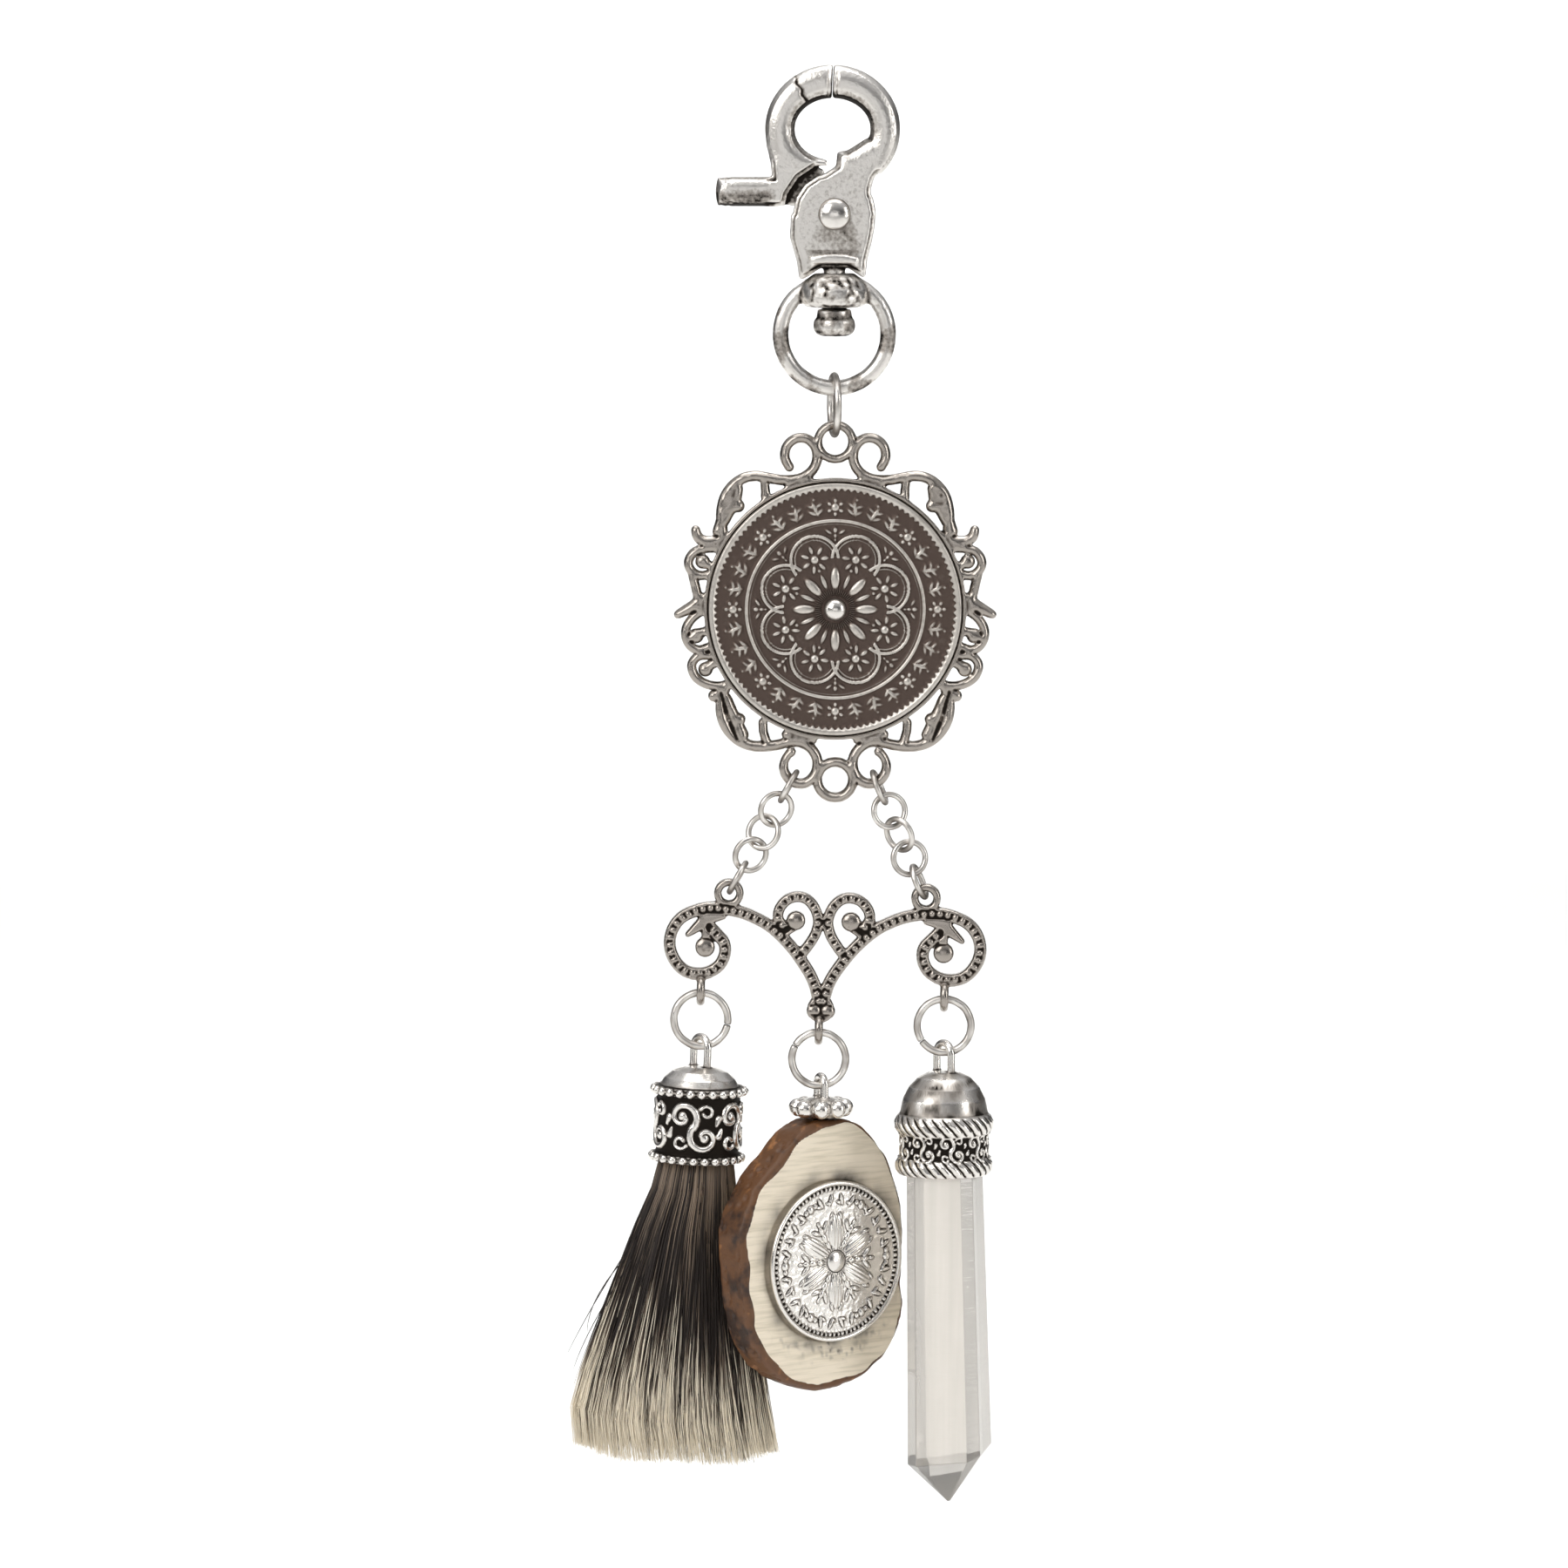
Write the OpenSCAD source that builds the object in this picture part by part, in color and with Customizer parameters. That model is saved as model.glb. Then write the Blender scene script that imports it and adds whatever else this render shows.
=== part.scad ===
// Charivari charm chain: a trigger hook carries a coin medallion, and two short chains under it
// carry a scrolled bar with a hair tassel, an antler slice and a crystal point.
// The chain hangs: the origin is the point of the hook's eye that it hangs from, +X is to the right
// and +Y is away from the viewer.

/* [Hook] */
// Half width of the hook's eye, outside
eye_half_w = 7.2; // [6.9:0.1:7.4]
// Half height of the hook's eye, outside
eye_half_h = 6.85; // [6.7:0.05:7]
// Half width of the hole in the eye
hole_half_w = 4.05; // [3.8:0.05:4.2]
// Half height of the hole in the eye
hole_half_h = 3.3; // [3.2:0.05:3.4]
// Thickness of the hook
hook_t = 3.2; // [2.8:0.1:3.6]
// Radius of the lever's rivet
rivet_r = 1; // [0.8:0.05:1.1]
// Radius of the swivel ring, to the middle of its wire
swivel_r = 5.75; // [5.6:0.05:5.8]
// Radius of the swivel ring's wire
swivel_wire_r = 0.85; // [0.75:0.05:0.9]

/* [Medallion] */
// Radius of the large coin
coin_r = 13.6; // [13.5:0.05:13.7]
// Thickness of the large coin
coin_t = 1.72; // [1.6:0.02:1.8]
// Thickness of the pierced frame
frame_t = 1.5; // [1.4:0.1:1.7]
// Radius of the hole in the lower eye
lower_eye_r = 1.5; // [1.4:0.05:1.6]

/* [Chains] */
// Radius of a chain link, to the middle of its wire
link_r = 1.77; // [1.76:0.01:1.8]
// Radius of a chain link's wire
link_wire_r = 0.31; // [0.28:0.01:0.31]

/* [Bar] */
// Thickness of the bar, front to back
bar_t = 1.5; // [1.3:0.1:1.6]
// Width of the bar's scrolls
bar_w = 1.3; // [1.2:0.05:1.35]
// Tilt of the bar, right end down
bar_tilt = 1.5; // [1.4:0.1:1.6]

/* [Drops] */
// Radius of a drop's jump ring, to the middle of its wire
ring_r = 2.9; // [2.85:0.05:3]
// Radius of a jump ring's wire
ring_wire_r = 0.4; // [0.36:0.01:0.4]
// Number of hair locks round the tassel
hair_locks = 18; // [12:1:20]
// Thickness of the antler slice
slice_t = 4.6; // [4.2:0.1:4.6]
// Turn of the antler slice about the vertical
slice_turn = 36; // [34:1:37]
// Radius of the small coin
small_coin_r = 8.75; // [8.5:0.05:8.8]
// Half width of the crystal at its foot
crystal_half_w = 4.6; // [4.3:0.05:4.6]

/* [Hidden] */
$fn = 48;
play = 0.1;                 // running gap between linked wires
fit = 0.05;                 // clearance of a pin in its hole
fillet = 0.12;              // radius in the corners where soldered bands meet
curve_steps = 3;            // points for each stretch of a drawn curve

// hook, in the plane of the photo
eye_z = -hole_half_h;
eye_x = 0.2;
rivet_x = 0.4;
rivet_z = -12.3;
plate_r = 4.45;             // round plate that the lever turns behind
lever_r = 5.45;             // inner edge of the lever's thick part
slot_t = 1.5;               // slot in the hook for the lever's tongue
tongue_t = 1.3;
tongue_r = 3.6;
hook_bevel = 0.45;
swivel_z = -25.15;
swivel_bore_r = 1.35;

// medallion, placed by what hangs on what
top_link_r = 3.12;
top_wire_r = 0.4;
top_link_z = swivel_z - swivel_r + swivel_wire_r + play + top_wire_r - top_link_r;
top_eye_hole_r = 1.5;
top_eye_z = top_link_z - plate_reach(top_link_r, top_wire_r, frame_t) - top_eye_hole_r;
medal_x = 0.5;
medal_z = top_eye_z - 17.9;
bezel_r = 14.05;            // outside of the thin wall round the coin
bezel_front = 0.85;         // how far the wall reaches to the front of the frame's middle
back_t = 0.38;              // back ring and cross that the coin rests against
back_y = 1;                 // back face of the cross
coin_front = back_y - back_t - fit - coin_t;
scroll_eye = [3.75, -16.9];
scroll_hole_r = 1.4;
lower_eye_z = -18.4;

// bar, in its own tilted frame
bar_x = -0.85;
bar_z = -90.8;
bar_eye_hole_r = 0.8;
bar_left_eye = [-10.2, 5.3];
bar_right_eye = [11, 5.3];
hang_eye_r = 1.25;          // lower eyes, seen edge on
hang_wire_r = 0.45;
hang_left = [-12.95, -5.25];
hang_mid = [-0.15, -9.2];
hang_right = [13.25, -5.25];
hang_rise = hang_wire_r + ring_wire_r + play - hang_eye_r;

// drops, each measured down from the top of its jump ring
loop_r = 1.25;
loop_wire_r = 0.42;
loop_turn = 37;
bead_loop_r = 0.95;
loop_play = 0.22;           // a turned loop comes nearer to its ring beside the middle

function rotated(p, a) = [p[0] * cos(a) - p[1] * sin(a), p[0] * sin(a) + p[1] * cos(a)];
function spaced(n, r) = [for (i = [0:n - 1]) r * [cos(360 * i / n), sin(360 * i / n)]];
function ellipse_points(a, b, n) = [for (i = [0:n - 1]) [a * cos(360 * i / n), b * sin(360 * i / n)]];
function bar_point(p) = [bar_x, bar_z] + rotated(p, -bar_tilt);
function hinge_point(p) = bar_point(p) + [0, hang_rise];
function loop_height(r) = -2 * ring_r + ring_wire_r + loop_wire_r + loop_play - r;

// From a link's middle to the edge of a plate, of thickness t, that it goes round
function plate_reach(r, wire_r, t) = sqrt(pow(r - wire_r - play, 2) - t * t / 4);

// Point at t on the smooth curve through b and c, with a before and d after
function curve_point(a, b, c, d, t) =
    0.5 * (2 * b + (c - a) * t + (2 * a - 5 * b + 4 * c - d) * t * t + (3 * b - a - 3 * c + d) * t * t * t);
function at_end(p, i) = p[max(0, min(len(p) - 1, i))];
function smooth(p) = concat(
    [for (i = [0:len(p) - 2], j = [0:curve_steps - 1])
        curve_point(at_end(p, i - 1), p[i], p[i + 1], at_end(p, i + 2), j / curve_steps)],
    [p[len(p) - 1]]);
function around(v, i) = v[(i + len(v)) % len(v)];
function smooth_loop(v, k) = [for (i = [0:len(v) - 1], j = [0:k - 1])
    curve_point(around(v, i - 1), v[i], around(v, i + 1), around(v, i + 2), j / k)];
function spiral(c, r0, r1, a0, a1, n) =
    [for (i = [0:n]) let (r = r0 + (r1 - r0) * i / n, a = a0 + (a1 - a0) * i / n) c + r * [cos(a), sin(a)]];

// Width w across the path p at its point i, to one side
function edge_point(p, i, w) =
    let (d = at_end(p, i + 1) - at_end(p, i - 1)) p[i] + w / 2 * [-d[1], d[0]] / norm(d);

// A flat band along a path, w0 wide at its start and w1 at its end, with round ends
module band(p, w0, w1) {
    n = len(p) - 1;
    polygon(concat(
        [for (i = [0:n]) edge_point(p, i, w0 + (w1 - w0) * i / n)],
        [for (i = [n:-1:0]) edge_point(p, i, -w0 - (w1 - w0) * i / n)]));
    translate(p[0]) circle(d = w0, $fn = 10);
    translate(p[n]) circle(d = w1, $fn = 10);
}

module dot(p, r) {
    translate(p) circle(r, $fn = 20);
}

// Joins drawn shapes into one outline and fills the sharp corners between them
module soldered(r = fillet) {
    offset(delta = -r) offset(delta = r + 0.02) offset(delta = -0.02) children();
}

// Stands a flat drawing up in the plane of the photo, from y0 back to y1
module upright(y0, y1) {
    translate([0, y1, 0]) rotate([90, 0, 0]) linear_extrude(y1 - y0) children();
}

module torus(r, wire_r) {
    rotate_extrude() translate([r, 0]) circle(wire_r, $fn = 24);
}

module facing_ring(r, wire_r) {
    rotate([90, 0, 0]) torus(r, wire_r);
}

module edge_on_ring(r, wire_r) {
    rotate([0, 90, 0]) torus(r, wire_r);
}

// A half ring over two straight legs, its plane turned about the vertical
module wire_loop(r, wire_r, leg, turn) {
    rotate([0, 0, 90 + turn]) {
        rotate([90, 0, 0]) rotate_extrude(angle = 180) translate([r, 0]) circle(wire_r, $fn = 24);
        for (s = [-1, 1]) translate([s * r, 0, -leg]) cylinder(r = wire_r, h = leg, $fn = 24);
    }
}

// Hook

module eye_outline() {
    translate([eye_x, eye_z]) polygon(ellipse_points(eye_half_w, eye_half_h, 64));
}

module eye_hole() {
    translate([eye_x, eye_z]) polygon(ellipse_points(hole_half_w, hole_half_h, 48));
}

module fixed_arm_side() {
    polygon([[0.17, -1], [0.4, 5], [9, 5], [9, -8], [0.6, -8], [0.6, -5]]);
}

module lever_arm_side() {
    polygon([[0.05, -1], [0.25, 5], [-9, 5], [-9, -8], [-0.5, -8], [-0.5, -5]]);
}

module hook_shape() {
    offset(r = 0.25, $fn = 16) offset(delta = -0.25) difference() {
        union() {
            difference() {
                intersection() {
                    eye_outline();
                    fixed_arm_side();
                }
                eye_hole();
            }
            translate([rivet_x, rivet_z]) circle(plate_r);
            polygon([
                [3.6, -4.4], [7.36, -3], [7.2, -4.4], [6.4, -5.9], [5.5, -7.3], [4.6, -8.5], [4.25, -9.8],
                [4.4, -11.4], [4.75, -13.3], [4.4, -15.2], [3.9, -17.2], [3.7, -19.2], [-3.3, -19.6],
                [-3.6, -17.4], [-4.35, -14.8], [-4.3, -12.6], [-1.5, -8.6], [0.6, -7.2], [0.7, -5.7],
                [1.7, -5.6], [2.7, -5]
            ]);
        }
        translate([rivet_x, -21.9]) circle(4.1);
        translate([rivet_x, swivel_z]) circle(swivel_r + swivel_wire_r + 2 * play, $fn = 96);
    }
}

module lever_shape() {
    offset(r = 0.15, $fn = 16) offset(delta = -0.15) difference() {
        union() {
            intersection() {
                eye_outline();
                lever_arm_side();
            }
            band([[-10.75, -9.95], [-5.4, -9.95]], 3.1, 3.1);
            polygon([
                [-7, -3.4], [-6.85, -5], [-6.4, -6.9], [-6.2, -9], [-5, -11.5], [-0.5, -8], [-0.5, -6.4]
            ]);
        }
        eye_hole();
        translate([rivet_x, rivet_z]) circle(lever_r);
    }
}

module bevelled_plate(t, bevel) {
    upright(-t / 2 + bevel, t / 2 - bevel) children();
    upright(-t / 2, t / 2) offset(delta = -bevel) children();
}

module rivet_hole(r) {
    translate([rivet_x, 0, rivet_z]) rotate([90, 0, 0]) cylinder(r = r, h = 2 * hook_t, center = true);
}

// The sector behind the plate that the lever's tongue moves through, from angle a0 to a1
module sector(r, a0, a1) {
    polygon(concat([[rivet_x, rivet_z]], [for (i = [0:8]) let (a = a0 + (a1 - a0) * i / 8)
        [rivet_x + r * cos(a), rivet_z + r * sin(a)]]));
}

module swivel_stud() {
    translate([rivet_x, 0, 0]) rotate_extrude() polygon([
        [0, -16.6], [1.15, -16.6], [1.15, -22.45], [1.8, -22.5], [1.9, -23.4], [2.2, -23.7],
        [2.25, -24.5], [1.95, -25.1], [1.3, -25.35], [0, -25.4]
    ]);
}

module hook_body() {
    color("silver") {
        difference() {
            union() {
                bevelled_plate(hook_t, hook_bevel) hook_shape();
                translate([rivet_x - 2.4, -hook_t / 2 - 0.3, -17.6]) cube([4.8, 1, 0.8]);
            }
            upright(-slot_t / 2, slot_t / 2) {
                sector(7, 93, 200);
                translate([rivet_x, rivet_z]) circle(tongue_r + 0.3);
            }
            rivet_hole(rivet_r + fit);
        }
        swivel_stud();
    }
}

module hook_lever() {
    color("silver") difference() {
        union() {
            bevelled_plate(hook_t, hook_bevel) lever_shape();
            upright(-tongue_t / 2, tongue_t / 2) {
                difference() {
                    sector(6, 104, 169);
                    translate([eye_x, eye_z]) circle(4.4);
                }
                translate([rivet_x, rivet_z]) circle(tongue_r);
            }
        }
        rivet_hole(rivet_r + fit);
    }
}

module rivet(r, shaft, head_r, head_h) {
    rotate([90, 0, 0]) rotate_extrude() polygon([
        [0, -shaft / 2 - head_h / 2], [head_r * 0.8, -shaft / 2 - head_h / 2], [head_r, -shaft / 2],
        [r, -shaft / 2], [r, shaft / 2], [head_r, shaft / 2], [head_r * 0.86, shaft / 2 + head_h * 0.5],
        [head_r * 0.5, shaft / 2 + head_h * 0.87], [0, shaft / 2 + head_h]
    ]);
}

module hook_rivet() {
    color("gainsboro") translate([rivet_x, 0, rivet_z]) rivet(rivet_r, hook_t + 2 * fit, 1.7, 0.9);
}

module swivel_ring() {
    color("silver") translate([rivet_x, 0, 0]) difference() {
        union() {
            translate([0, 0, swivel_z]) facing_ring(swivel_r, swivel_wire_r);
            rotate_extrude() polygon([
                [0, -18.6], [2.1, -18.65], [2.8, -19.15], [3.35, -19.85], [3.62, -20.4],
                [3.68, -21.3], [3.5, -21.9], [2.95, -22.2], [2.2, -22.3], [0, -22.3]
            ]);
        }
        translate([0, 0, -23]) cylinder(r = swivel_bore_r, h = 6);
    }
}

module top_link() {
    color("silver") translate([rivet_x, 0, top_link_z]) rotate([0, 0, 7])
        edge_on_ring(top_link_r, top_wire_r);
}

// Medallion, drawn from the coin's middle; each half is mirrored

module frame_half() {
    // upper rod, from its scroll beside the top eye out to the side
    band(smooth([[4.9, 15.2], [5.4, 16.2], [5.2, 17.4], [4.45, 18.15], [3.5, 18.35], [2.6, 17.95], [2, 17],
        [2, 15.7], [2.7, 14.6], [3.9, 13.95], [5.4, 13.8], [6.9, 14], [8.3, 14.25], [9.6, 14.1],
        [10.8, 13.4], [11.7, 12.25], [12.1, 10.95], [12.2, 9.75], [12.1, 8.6], [12.1, 7.4]]), 0.8, 0.95);
    band([[2.9, 14], [5, 13.4]], 0.9, 0.9);
    band([[7.6, 13.9], [7.45, 12.6], [7.45, 11.6]], 0.65, 0.85);
    band(smooth([[10.6, 12.9], [10.75, 11.4], [11.3, 10.4], [11.75, 9.3]]), 1.3, 0.6);
    dot([10.4, 11.05], 0.6);
    // side scrolls
    band(smooth([[14.95, 8.5], [14.7, 7.7], [13.8, 7.2], [12.3, 7.3]]), 0.75, 1.15);
    band([[12.45, 9.4], [12.6, 8.3]], 0.5, 0.9);
    band(smooth([[12.2, 6.5], [13.7, 6.5], [14.95, 6.2], [15.6, 5.45], [15.7, 4.65], [15.2, 3.9],
        [14.3, 3.55], [13.4, 3.8]]), 0.75, 0.75);
    dot([14.2, 5.1], 0.68);
    band([[14.2, 5], [13.3, 4.6]], 0.7, 0.8);
    band([[15.3, 3.8], [14.85, 1.9], [14.6, 0.9]], 0.75, 0.8);
    band([[14.6, 1.2], [13.9, 0.2]], 0.8, 0.9);
    band(smooth([[14.2, 0.9], [15, 0.35], [15.9, -0.1], [16.85, -0.6]]), 1.5, 0.7);
    band(smooth([[14.4, -0.3], [15.3, -1], [15.95, -2], [16, -3.05], [15.5, -4], [14.6, -4.45],
        [13.6, -4.1]]), 0.75, 0.75);
    dot([14.9, -2.9], 0.7);
    band([[14.9, -2.6], [13.7, -2.4]], 0.7, 0.8);
    band(smooth([[13.3, -5], [14.6, -5.05], [15.3, -5.75], [15.35, -6.5], [14.9, -7.4], [13.9, -8.05],
        [12.7, -8.3], [11.2, -8.15]]), 0.75, 0.75);
    dot([13.9, -6.5], 0.68);
    band([[13.9, -6.4], [12.7, -5.6]], 0.8, 1);
    dot([13, -9.35], 0.52);
    band([[12.9, -9.3], [11.8, -8.8]], 0.5, 0.8);
    // lower rod, to its scroll eye
    band(smooth([[11.7, -8.2], [12.15, -9.6], [12.25, -10.9], [11.95, -12.2], [11.2, -13.4], [10.1, -14.3],
        [8.8, -14.75], [7.4, -14.8], [6, -14.6], [4.7, -14.3], [3.6, -14.4], [2.6, -15], [2, -15.95],
        [1.9, -17], [2.3, -18.05], [3.2, -18.75], [4.25, -18.75], [5.1, -18.15], [5.5, -17.1],
        [5.2, -16.1], [4.7, -15.4]]), 0.95, 0.85);
    band([[2.4, -14], [5.2, -13.5]], 0.9, 0.9);
    band(smooth([[11.6, -9.6], [11, -11.2], [10.5, -12.4], [10, -13.6]]), 0.8, 1.3);
    dot([10.3, -11.9], 0.6);
    band([[7.75, -12.2], [7.7, -13.2], [7.4, -14.2]], 0.75, 0.75);
}

module frame_outline() {
    frame_half();
    mirror([1, 0]) frame_half();
    dot([0, 17.9], 2.2);
    dot([0, lower_eye_z], 2.35);
}

module eye_bore(r, z, x = 0) {
    translate([x, 0, z]) rotate([90, 0, 0]) cylinder(r = r, h = 4 * frame_t, center = true);
}

module coin_seat(r, y0, y1) {
    translate([0, y1, 0]) rotate([90, 0, 0]) cylinder(r = r, h = y1 - y0, $fn = 96);
}

module medallion_frame() {
    color("silver") translate([medal_x, 0, medal_z]) difference() {
        union() {
            upright(-frame_t / 2, frame_t / 2) soldered() frame_outline();
            coin_seat(bezel_r, -bezel_front, back_y);
        }
        coin_seat(coin_r + fit, -2, back_y - back_t);
        upright(0, 2) for (i = [0:3]) rotate(90 * i) intersection() {
            difference() {
                circle(11.6, $fn = 96);
                circle(2.6);
            }
            translate([1.5, 1.5]) square(14);
        }
        eye_bore(top_eye_hole_r, 17.9);
        eye_bore(lower_eye_r, lower_eye_z);
        for (side = [-1, 1]) eye_bore(scroll_hole_r, scroll_eye[1], side * scroll_eye[0]);
        eye_bore(0.65, 0);
    }
}

// A flat ring that stands from the depth y0 to y1
module raised_ring(r, w, y0, y1) {
    translate([0, y1, 0]) rotate([90, 0, 0]) rotate_extrude($fn = 96)
        translate([r - w, 0]) square([w, y1 - y0]);
}

module lozenge(l, w) {
    polygon([[l / 2, 0], [0, w / 2], [-l / 2, 0], [0, -w / 2]]);
}

module lobes(r) {
    for (p = spaced(8, 5.9)) translate(p) circle(r);
}

module medallion_coin() {
    field = coin_front + 0.25;
    root = field + 0.2;
    color("gray") translate([medal_x, 0, medal_z]) difference() {
        union() {
            coin_seat(coin_r, field, coin_front + coin_t);
            raised_ring(coin_r, 0.6, coin_front, root);
            raised_ring(9.9, 0.4, coin_front, root);
            upright(coin_front, root) {
                for (i = [0:23]) rotate(15 * i) translate([11.4, 0]) lozenge(i % 2 == 0 ? 1.7 : 0.9, 1);
                difference() {
                    lobes(2.9);
                    lobes(2.4);
                    circle(6.2);
                }
                for (i = [0:7]) rotate(45 * i) translate([3.7, 0]) lozenge(2.6, 1.4);
                for (p = spaced(8, 5.9)) translate(p) circle(0.7);
                circle(1.9);
            }
        }
        eye_bore(0.6 + fit, 0);
    }
}

module coin_rivet() {
    head = 1.2;
    color("gainsboro") translate([medal_x, 0, medal_z]) rotate([90, 0, 0]) rotate_extrude() polygon([
        [0, -back_y - 0.35], [1.1, -back_y - 0.35], [1.1, -back_y - 0.05], [0.6, -back_y - 0.05],
        [0.6, -coin_front + 0.05], [head, -coin_front + 0.05], [head * 0.85, -coin_front + 0.5],
        [head * 0.5, -coin_front + 0.8], [0, -coin_front + 0.9]
    ]);
}

// Chains: five links between a scroll eye of the medallion and a top eye of the bar

function chain_top(side) = [medal_x + side * scroll_eye[0], medal_z + scroll_eye[1]];
function chain_foot(side) = bar_point(side < 0 ? bar_left_eye : bar_right_eye);
function chain_dir(side) = let (d = chain_foot(side) - chain_top(side)) d / norm(d);
first_drop = scroll_hole_r + plate_reach(link_r, link_wire_r, frame_t);
last_rise = bar_eye_hole_r + plate_reach(link_r, link_wire_r, bar_t);
function link_centre(side, i) =
    let (a = chain_top(side) + first_drop * chain_dir(side))
    let (b = chain_foot(side) - last_rise * chain_dir(side))
    a + (b - a) * (i - 1) / 4;
left_twists = [85, 25, -30, 25, 85];
right_twists = [85, 20, -45, 15, 80];

module chain_link(side, i, twist) {
    c = link_centre(side, i);
    d = chain_dir(side);
    color("silver") translate([c[0], 0, c[1]]) rotate([0, -atan2(d[0], -d[1]), 0])
        rotate([0, 0, twist]) facing_ring(link_r, link_wire_r);
}

// Bar, drawn in its own frame; each half is mirrored

module bar_half() {
    band(smooth([[0.1, -6.5], [0.45, -5.4], [0.72, -4.4], [1.3, -3.2], [2.2, -1.85], [3.2, -0.55], [4.5, 0.8],
        [5.85, 1.9], [7.25, 2.65], [8.65, 3.2], [10, 3.5], [11.3, 3.68], [12.7, 3.66], [14, 3.32],
        [15.3, 2.7], [16.2, 1.7], [16.67, 0.4], [16.63, -0.95], [16, -2.25], [14.95, -3.2], [13.6, -3.5],
        [12.3, -3.25], [11.2, -2.5], [10.65, -1.3], [10.75, -0.1], [11.5, 0.8], [12.3, 1.6]]), bar_w, bar_w);
    dot([12.83, -0.57], 1.08);
    band([[12.7, 2.2], [12.75, 0.2]], 1.1, 1);
    band([[14.75, 0.75], [13.1, 2.1]], 0.6, 1.4);
    band([[13, 2.5], [10.9, 2.75]], 1.4, 0.6);
    band(smooth([[2.2, -1], [1.35, 0.15], [0.74, 1.27], [0.52, 2.6], [0.96, 3.96], [1.8, 4.87], [2.85, 5.13],
        [3.93, 4.8], [4.7, 3.95], [4.95, 2.95], [4.6, 2.15], [4, 1.6]]), 1.15, 1.15);
    dot([2.96, 2.55], 1.03);
    band([[3.1, 2], [4.1, 1.4]], 1.1, 1.2);
    dot([0.75, -7.2], 0.8);
}

// The left half is a little shorter than the right
bar_stretch = 0.017;

module bar_outline() {
    for (side = [-1, 1]) scale([side * (1 + side * bar_stretch), 1]) bar_half();
    dot([0, -6.95], 1.45);
    for (p = [bar_left_eye, bar_right_eye]) dot(p, 1.6);
}

module scroll_bar() {
    color("silver") translate([bar_x, 0, bar_z]) rotate([0, bar_tilt, 0]) {
        difference() {
            upright(-bar_t / 2, bar_t / 2) soldered() bar_outline();
            for (p = [bar_left_eye, bar_right_eye]) translate([p[0], 0, p[1]]) rotate([90, 0, 0])
                cylinder(r = bar_eye_hole_r, h = 4, center = true);
        }
        for (p = [hang_left, hang_mid, hang_right]) translate([p[0], 0, p[1]]) {
            edge_on_ring(hang_eye_r, hang_wire_r);
            translate([0, 0, hang_eye_r]) cylinder(r = 0.6, h = 0.8);
        }
    }
}

// Drops

module at_hinge(p) {
    h = hinge_point(p);
    translate([h[0], 0, h[1]]) children();
}

module jump_ring() {
    color("silver") translate([0, 0, -ring_r]) facing_ring(ring_r, ring_wire_r);
}

module tassel_ring() {
    at_hinge(hang_left) jump_ring();
}

module antler_ring() {
    at_hinge(hang_mid) jump_ring();
}

module crystal_ring() {
    at_hinge(hang_right) jump_ring();
}

// One raised S scroll
module scroll_motif() {
    half = spiral([-1, 0.9], 0.45, 1.345, 318, -42, 12);
    band(concat(half, [for (i = [11:-1:0]) -half[i]]), 0.5, 0.5);
    translate([-1, 0.9]) circle(0.5, $fn = 8);
    translate([1, -0.9]) circle(0.5, $fn = 8);
}

// A belt of n scrolls on a round body of radius r, standing h proud of it
belt_root = 0.3;            // how far the scrolls reach into the body
belt_start = 0.7;           // share of the radius where each scroll's block starts

module scroll_belt(n, r, h, z, wide, tall) {
    translate([0, 0, z]) intersection() {
        difference() {
            cylinder(r = r + h, h = 5 * tall, center = true);
            cylinder(r = r - belt_root, h = 6 * tall, center = true);
        }
        for (i = [0:n - 1]) rotate([0, 0, 360 * i / n]) translate([0, -belt_start * r, 0]) rotate([90, 0, 0])
            linear_extrude(r) scale([wide, tall]) soldered(0.05) scroll_motif();
    }
}

// The tassel leans a little to the left, from the middle of its loop
tassel_lean = 2.2;

module at_tassel() {
    z = loop_height(loop_r);
    at_hinge(hang_left) translate([0, 0, z]) rotate([0, tassel_lean, 0]) translate([0, 0, -z]) children();
}

module tassel_cap() {
    color("silver") at_tassel() {
        translate([0, 0, loop_height(loop_r)]) wire_loop(loop_r, loop_wire_r, 2.4, loop_turn);
        rotate_extrude() polygon([
            [0, -7.9], [1.6, -8], [2.9, -8.45], [3.8, -9.2], [4.25, -10], [4.95, -10.05], [5.3, -10.45],
            [4.95, -10.9], [4.5, -10.95], [4.5, -17.3], [4.95, -17.35], [5.25, -17.75], [4.95, -18.15],
            [4.15, -18.2], [4.15, -16.7], [0, -16.7]
        ]);
        scroll_belt(5, 4.5, 0.25, -14.1, 1, 1.25);
    }
}

// Sections of the hair from the cap down: height, middle across, middle front to back,
// half width and half depth
hair_sections = [
    [-16.8, 0, 0, 3.9, 3.9],
    [-18.3, 0, 0, 3.9, 3.8],
    [-20.5, -0.1, 0.1, 4.3, 3.8],
    [-23.2, -0.45, 0.3, 5, 3.8],
    [-26, -0.8, 0.6, 5.8, 3.8],
    [-29.3, -1, 0.9, 6.7, 3.9],
    [-32.6, -1.2, 1.2, 7.6, 4],
    [-36, -1.4, 1.5, 8.55, 4.1],
    [-39.5, -1.6, 1.8, 9.5, 4.3],
    [-43, -1.75, 2, 10.4, 4.4],
    [-46, -1.75, 2.2, 11.05, 4.5],
    [-48.4, -1.4, 2.3, 11.3, 4.4],
    [-50, -0.9, 2.3, 10.6, 4]
];
hair_sides = 72;

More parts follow.
